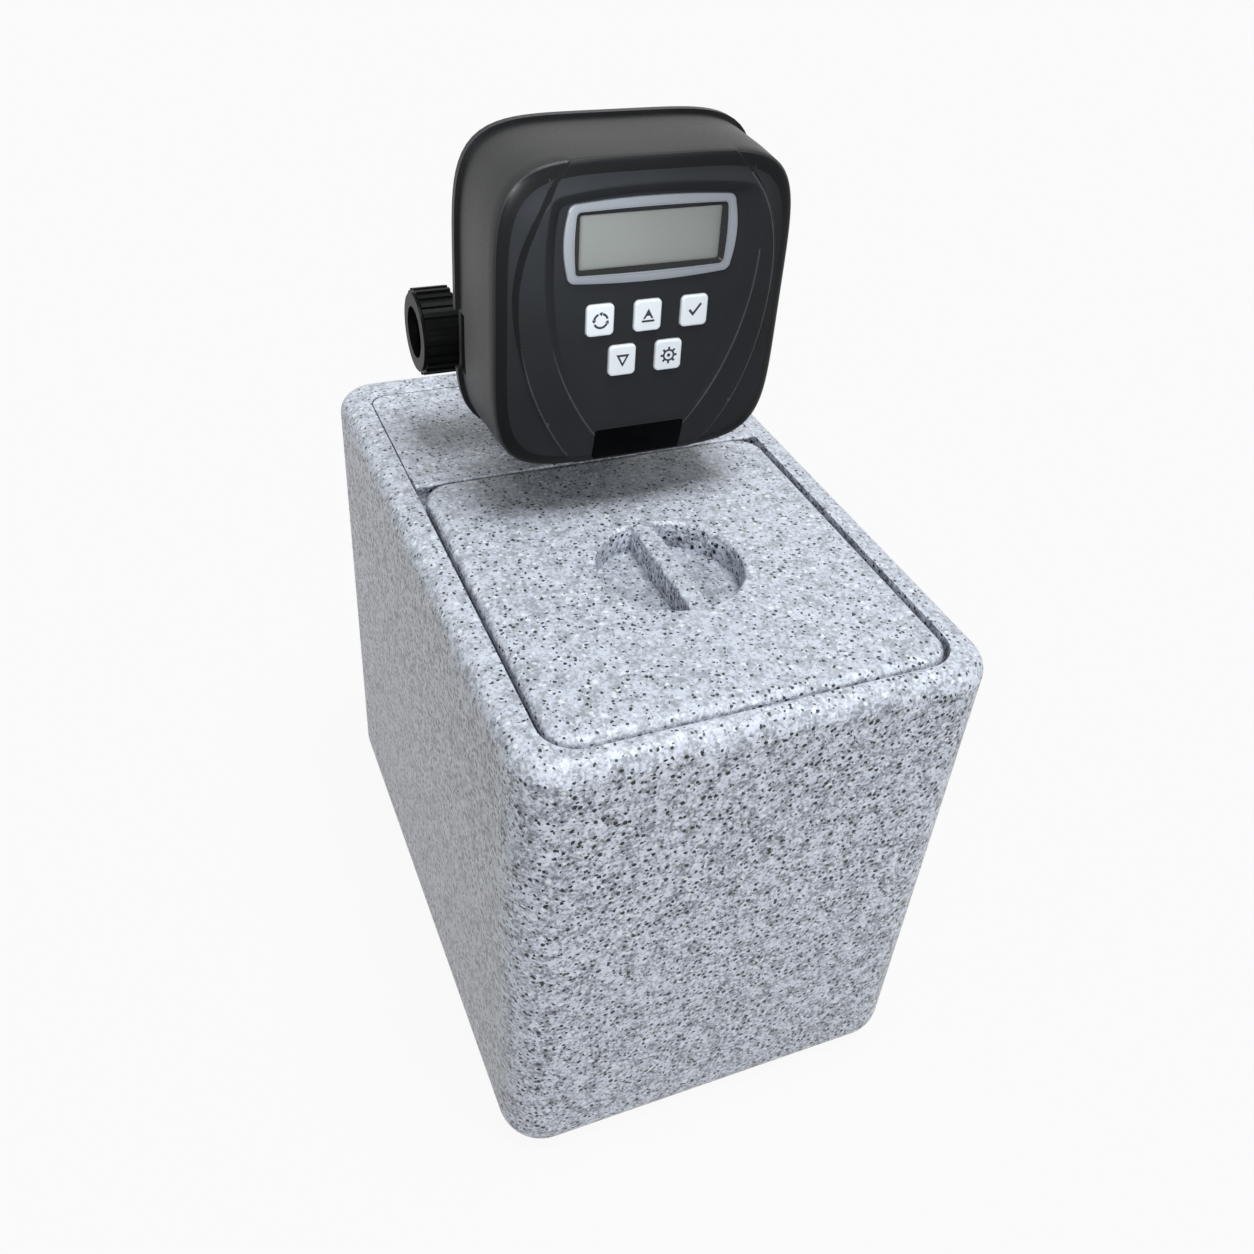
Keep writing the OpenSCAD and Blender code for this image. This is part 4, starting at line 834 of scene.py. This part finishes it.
bezel_silver = moulded("bezel_silver", (0.27, 0.287, 0.315), 0.34, 700.0, 0.03, 0.05, Metallic=0.2)
bezel_dark = moulded("bezel_dark", (0.012, 0.012, 0.013), 0.25, 500.0, 0.01, 0.1, Specular_IOR_Level=0.25)
bezel_lip = 5.5 * mm
bezel_corner = 5 * mm
bezel_bow_x = 2.4 * mm
bezel_bow_z = 2 * mm
window_less_w = 4 * mm
window_less_h = 3 * mm
window_corner = 1.6 * mm
skirt_corner = 2 * mm
outer_shape = soft_rectangle(display_w + 2 * bezel_lip, display_h + 2 * bezel_lip, bezel_corner,
                             bezel_bow_x, bezel_bow_z)
inner_shape = soft_rectangle(display_w - window_less_w, display_h - window_less_h, window_corner)
bezel_section = [(0.0, 0.0), (0.0, -1.0), (0.03, -1.4), (0.08, -1.6), (0.52, -1.6), (0.54, -1.3),
                 (0.57, -1.3), (0.59, -1.65), (0.64, -1.65), (0.66, -1.1), (0.93, 0.3), (1.0, 0.7),
                 (1.0, 1.4)]
skirt_section = [(3, 1.4), (3, 3), (6, 3), (6, 0)]
bezel_silver_to = 9
bezel_rings = []
for inward, depth in bezel_section:
    bezel_rings.append([panel_point(a + (c - a) * inward, depth * mm, display_up + b + (d - b) * inward)
                        for (a, b), (c, d) in zip(outer_shape, inner_shape)])
for grow, depth in skirt_section:
    skirt = soft_rectangle(display_w + grow * mm, display_h + grow * mm, skirt_corner)
    bezel_rings.append([panel_point(x, depth * mm, display_up + z) for x, z in skirt])
bezel_points, bezel_faces = loft(bezel_rings, False, False)
count = len(outer_shape)
last = (len(bezel_rings) - 1) * count
bezel_faces += [(last + k, k, (k + 1) % count, last + (k + 1) % count) for k in range(count)]
bezel = mesh_piece("display_bezel", bezel_points, bezel_faces, "softener", bezel_silver, bezel_dark)
bezel.data.polygons.foreach_set("material_index",
                                [int(k // count >= bezel_silver_to) for k in range(len(bezel_faces))])
smooth(bezel, 30)
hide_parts("lcd_bezel")


# Keys. Five white caps with soft edges stand through the panel, each with a flange
# behind it and a stem on its switch; the icons are printed in dark grey.
key_white = moulded("key_white", (0.75, 0.78, 0.81), 0.38, 500.0, 0.02, 0.02)
key_print = moulded("key_print", (0.02, 0.02, 0.024), 0.5, 400.0, 0.02, 0.1)
key_edge = 1.4 * mm
key_front = -2 * mm
key_back = 3.4 * mm
key_least_corner = 0.6 * mm
flange_out = 1.7 * mm
flange_back = 5 * mm
stem_r = 3
stem_depths = (4.8 * mm, 10.4 * mm)
ink_depths = (key_front - 0.05 * mm, key_front + 0.1 * mm)
edge_turns = [math.radians(15 * step) for step in range(7)]
key_section = [(key_edge + 0.01 * mm, key_front)]
key_section += [(key_edge * (1 - math.sin(turn)), key_front + key_edge * (1 - math.cos(turn)))
                for turn in edge_turns]
key_section += [(0.0, key_back), (-flange_out, key_back), (-flange_out, flange_back)]


def arc(radius, start, end, steps=14):
    return [(radius * math.cos(math.radians(start + (end - start) * k / steps)),
             radius * math.sin(math.radians(start + (end - start) * k / steps))) for k in range(steps + 1)]


def band(outer, inner, start, end):
    return arc(outer, start, end) + arc(inner, end, start)


def bar(x0, z0, x1, z1, width):
    length = math.hypot(x1 - x0, z1 - z0)
    side_x, side_z = -(z1 - z0) / length * width / 2, (x1 - x0) / length * width / 2
    return [(x0 + side_x, z0 + side_z), (x0 - side_x, z0 - side_z),
            (x1 - side_x, z1 - side_z), (x1 + side_x, z1 + side_z)]


def tooth(angle, inner, outer, width):
    across, upward = math.cos(math.radians(angle)), math.sin(math.radians(angle))
    return bar(inner * across, inner * upward, outer * across, outer * upward, width)


def head(angle, radius, length, width):
    across, upward = math.cos(math.radians(angle)), math.sin(math.radians(angle))
    mid_x, mid_z = radius * across, radius * upward
    return [(mid_x + across * width / 2, mid_z + upward * width / 2),
            (mid_x - across * width / 2, mid_z - upward * width / 2),
            (mid_x - upward * length, mid_z + across * length)]


icons = {
    "cycle": [band(5.0, 3.6, 14, 76), band(5.0, 3.6, 112, 168), band(5.0, 3.6, 206, 336),
              head(80, 4.3, 2.1, 2.9), head(170, 4.3, 2.1, 2.9), head(338, 4.3, 2.1, 2.9)],
    "up": [[(0, 4.5), (-3.4, -1.8), (-2.1, -1.8), (-0.9, 0.0), (0.9, 0.0), (2.1, -1.8), (3.4, -1.8)],
           bar(-4.1, -3.2, 4.1, -3.2, 1.3)],
    "tick": [[(-4.2, 0.4), (-3.1, 1.5), (-1.1, -0.7), (3.4, 4.9), (4.5, 3.9), (-1.1, -3.2)]],
    "down": [[(-4.3, 3.9), (-0.1, -3.9), (0, -1.6), (-2.2, 2.5), (0, 2.5), (0, 3.9)],
             [(4.3, 3.9), (0, 3.9), (0, 2.5), (2.2, 2.5), (0, -1.6), (-0.1, -3.9), (0.1, -3.9)]],
    "gear": [band(3.9, 2.7, 0, 180), band(3.9, 2.7, 180, 360), arc(1.1, 0, 345, 23)]
            + [tooth(45 * k, 3.7, 5.4, 1.4) for k in range(8)],
}
for key, (key_x, key_up) in key_places.items():
    rings = []
    for inset, depth in key_section:
        corner = max(key_corner - inset, key_least_corner)
        shape = soft_rectangle(key_w - 2 * inset, key_h - 2 * inset, corner)
        rings.append([panel_point(key_x + x, depth, key_up + z) for x, z in shape])
    cap_points, cap_faces = loft(rings)
    stem = [[panel_point(key_x + x * mm, depth, key_up + z * mm) for x, z in arc(stem_r, 0, 345, 23)]
            for depth in stem_depths]
    stem_points, stem_faces = loft(stem, start=len(cap_points))
    cap = mesh_piece("key_" + key + "_cap", cap_points + stem_points, cap_faces + stem_faces,
                     "key_" + key, key_white)
    smooth(cap, 40)
    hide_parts("button_" + key)
    ink_points, ink_faces = [], []
    for outline in icons[key]:
        rings = [[panel_point(key_x + x * mm, depth, key_up + z * mm) for x, z in outline]
                 for depth in ink_depths]
        points, faces = loft(rings, start=len(ink_points))
        ink_points += points
        ink_faces += faces
    ink = mesh_piece("key_" + key + "_icon", ink_points, ink_faces, "key_" + key, key_print)


# Name plate. A bare strip of polished black plastic with softened edges, let into the
# foot of the face and glued there.
plate_gloss = moulded("plate_gloss", (0.002, 0.0021, 0.0024), 0.2, 300.0, 0.005, 0.1,
                      Specular_IOR_Level=0.02)
label_section = [(0.5 * mm, 0.0), (0.25 * mm, 0.06 * mm), (0.0, 0.3 * mm), (0.0, label_t)]
label_rings = []
for inset, depth in label_section:
    shape = soft_rectangle(label_w - 2 * inset, label_h - 2 * inset, label_corner - inset)
    label_rings.append([label_point(x, depth, z) for x, z in shape])
label_points, label_faces = loft(label_rings)
label = mesh_piece("name_plate", label_points, label_faces, "softener", plate_gloss)
smooth(label, 40)
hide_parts("label_plate")


# Picture settings.
bpy.context.scene.view_settings.view_transform = "Standard"
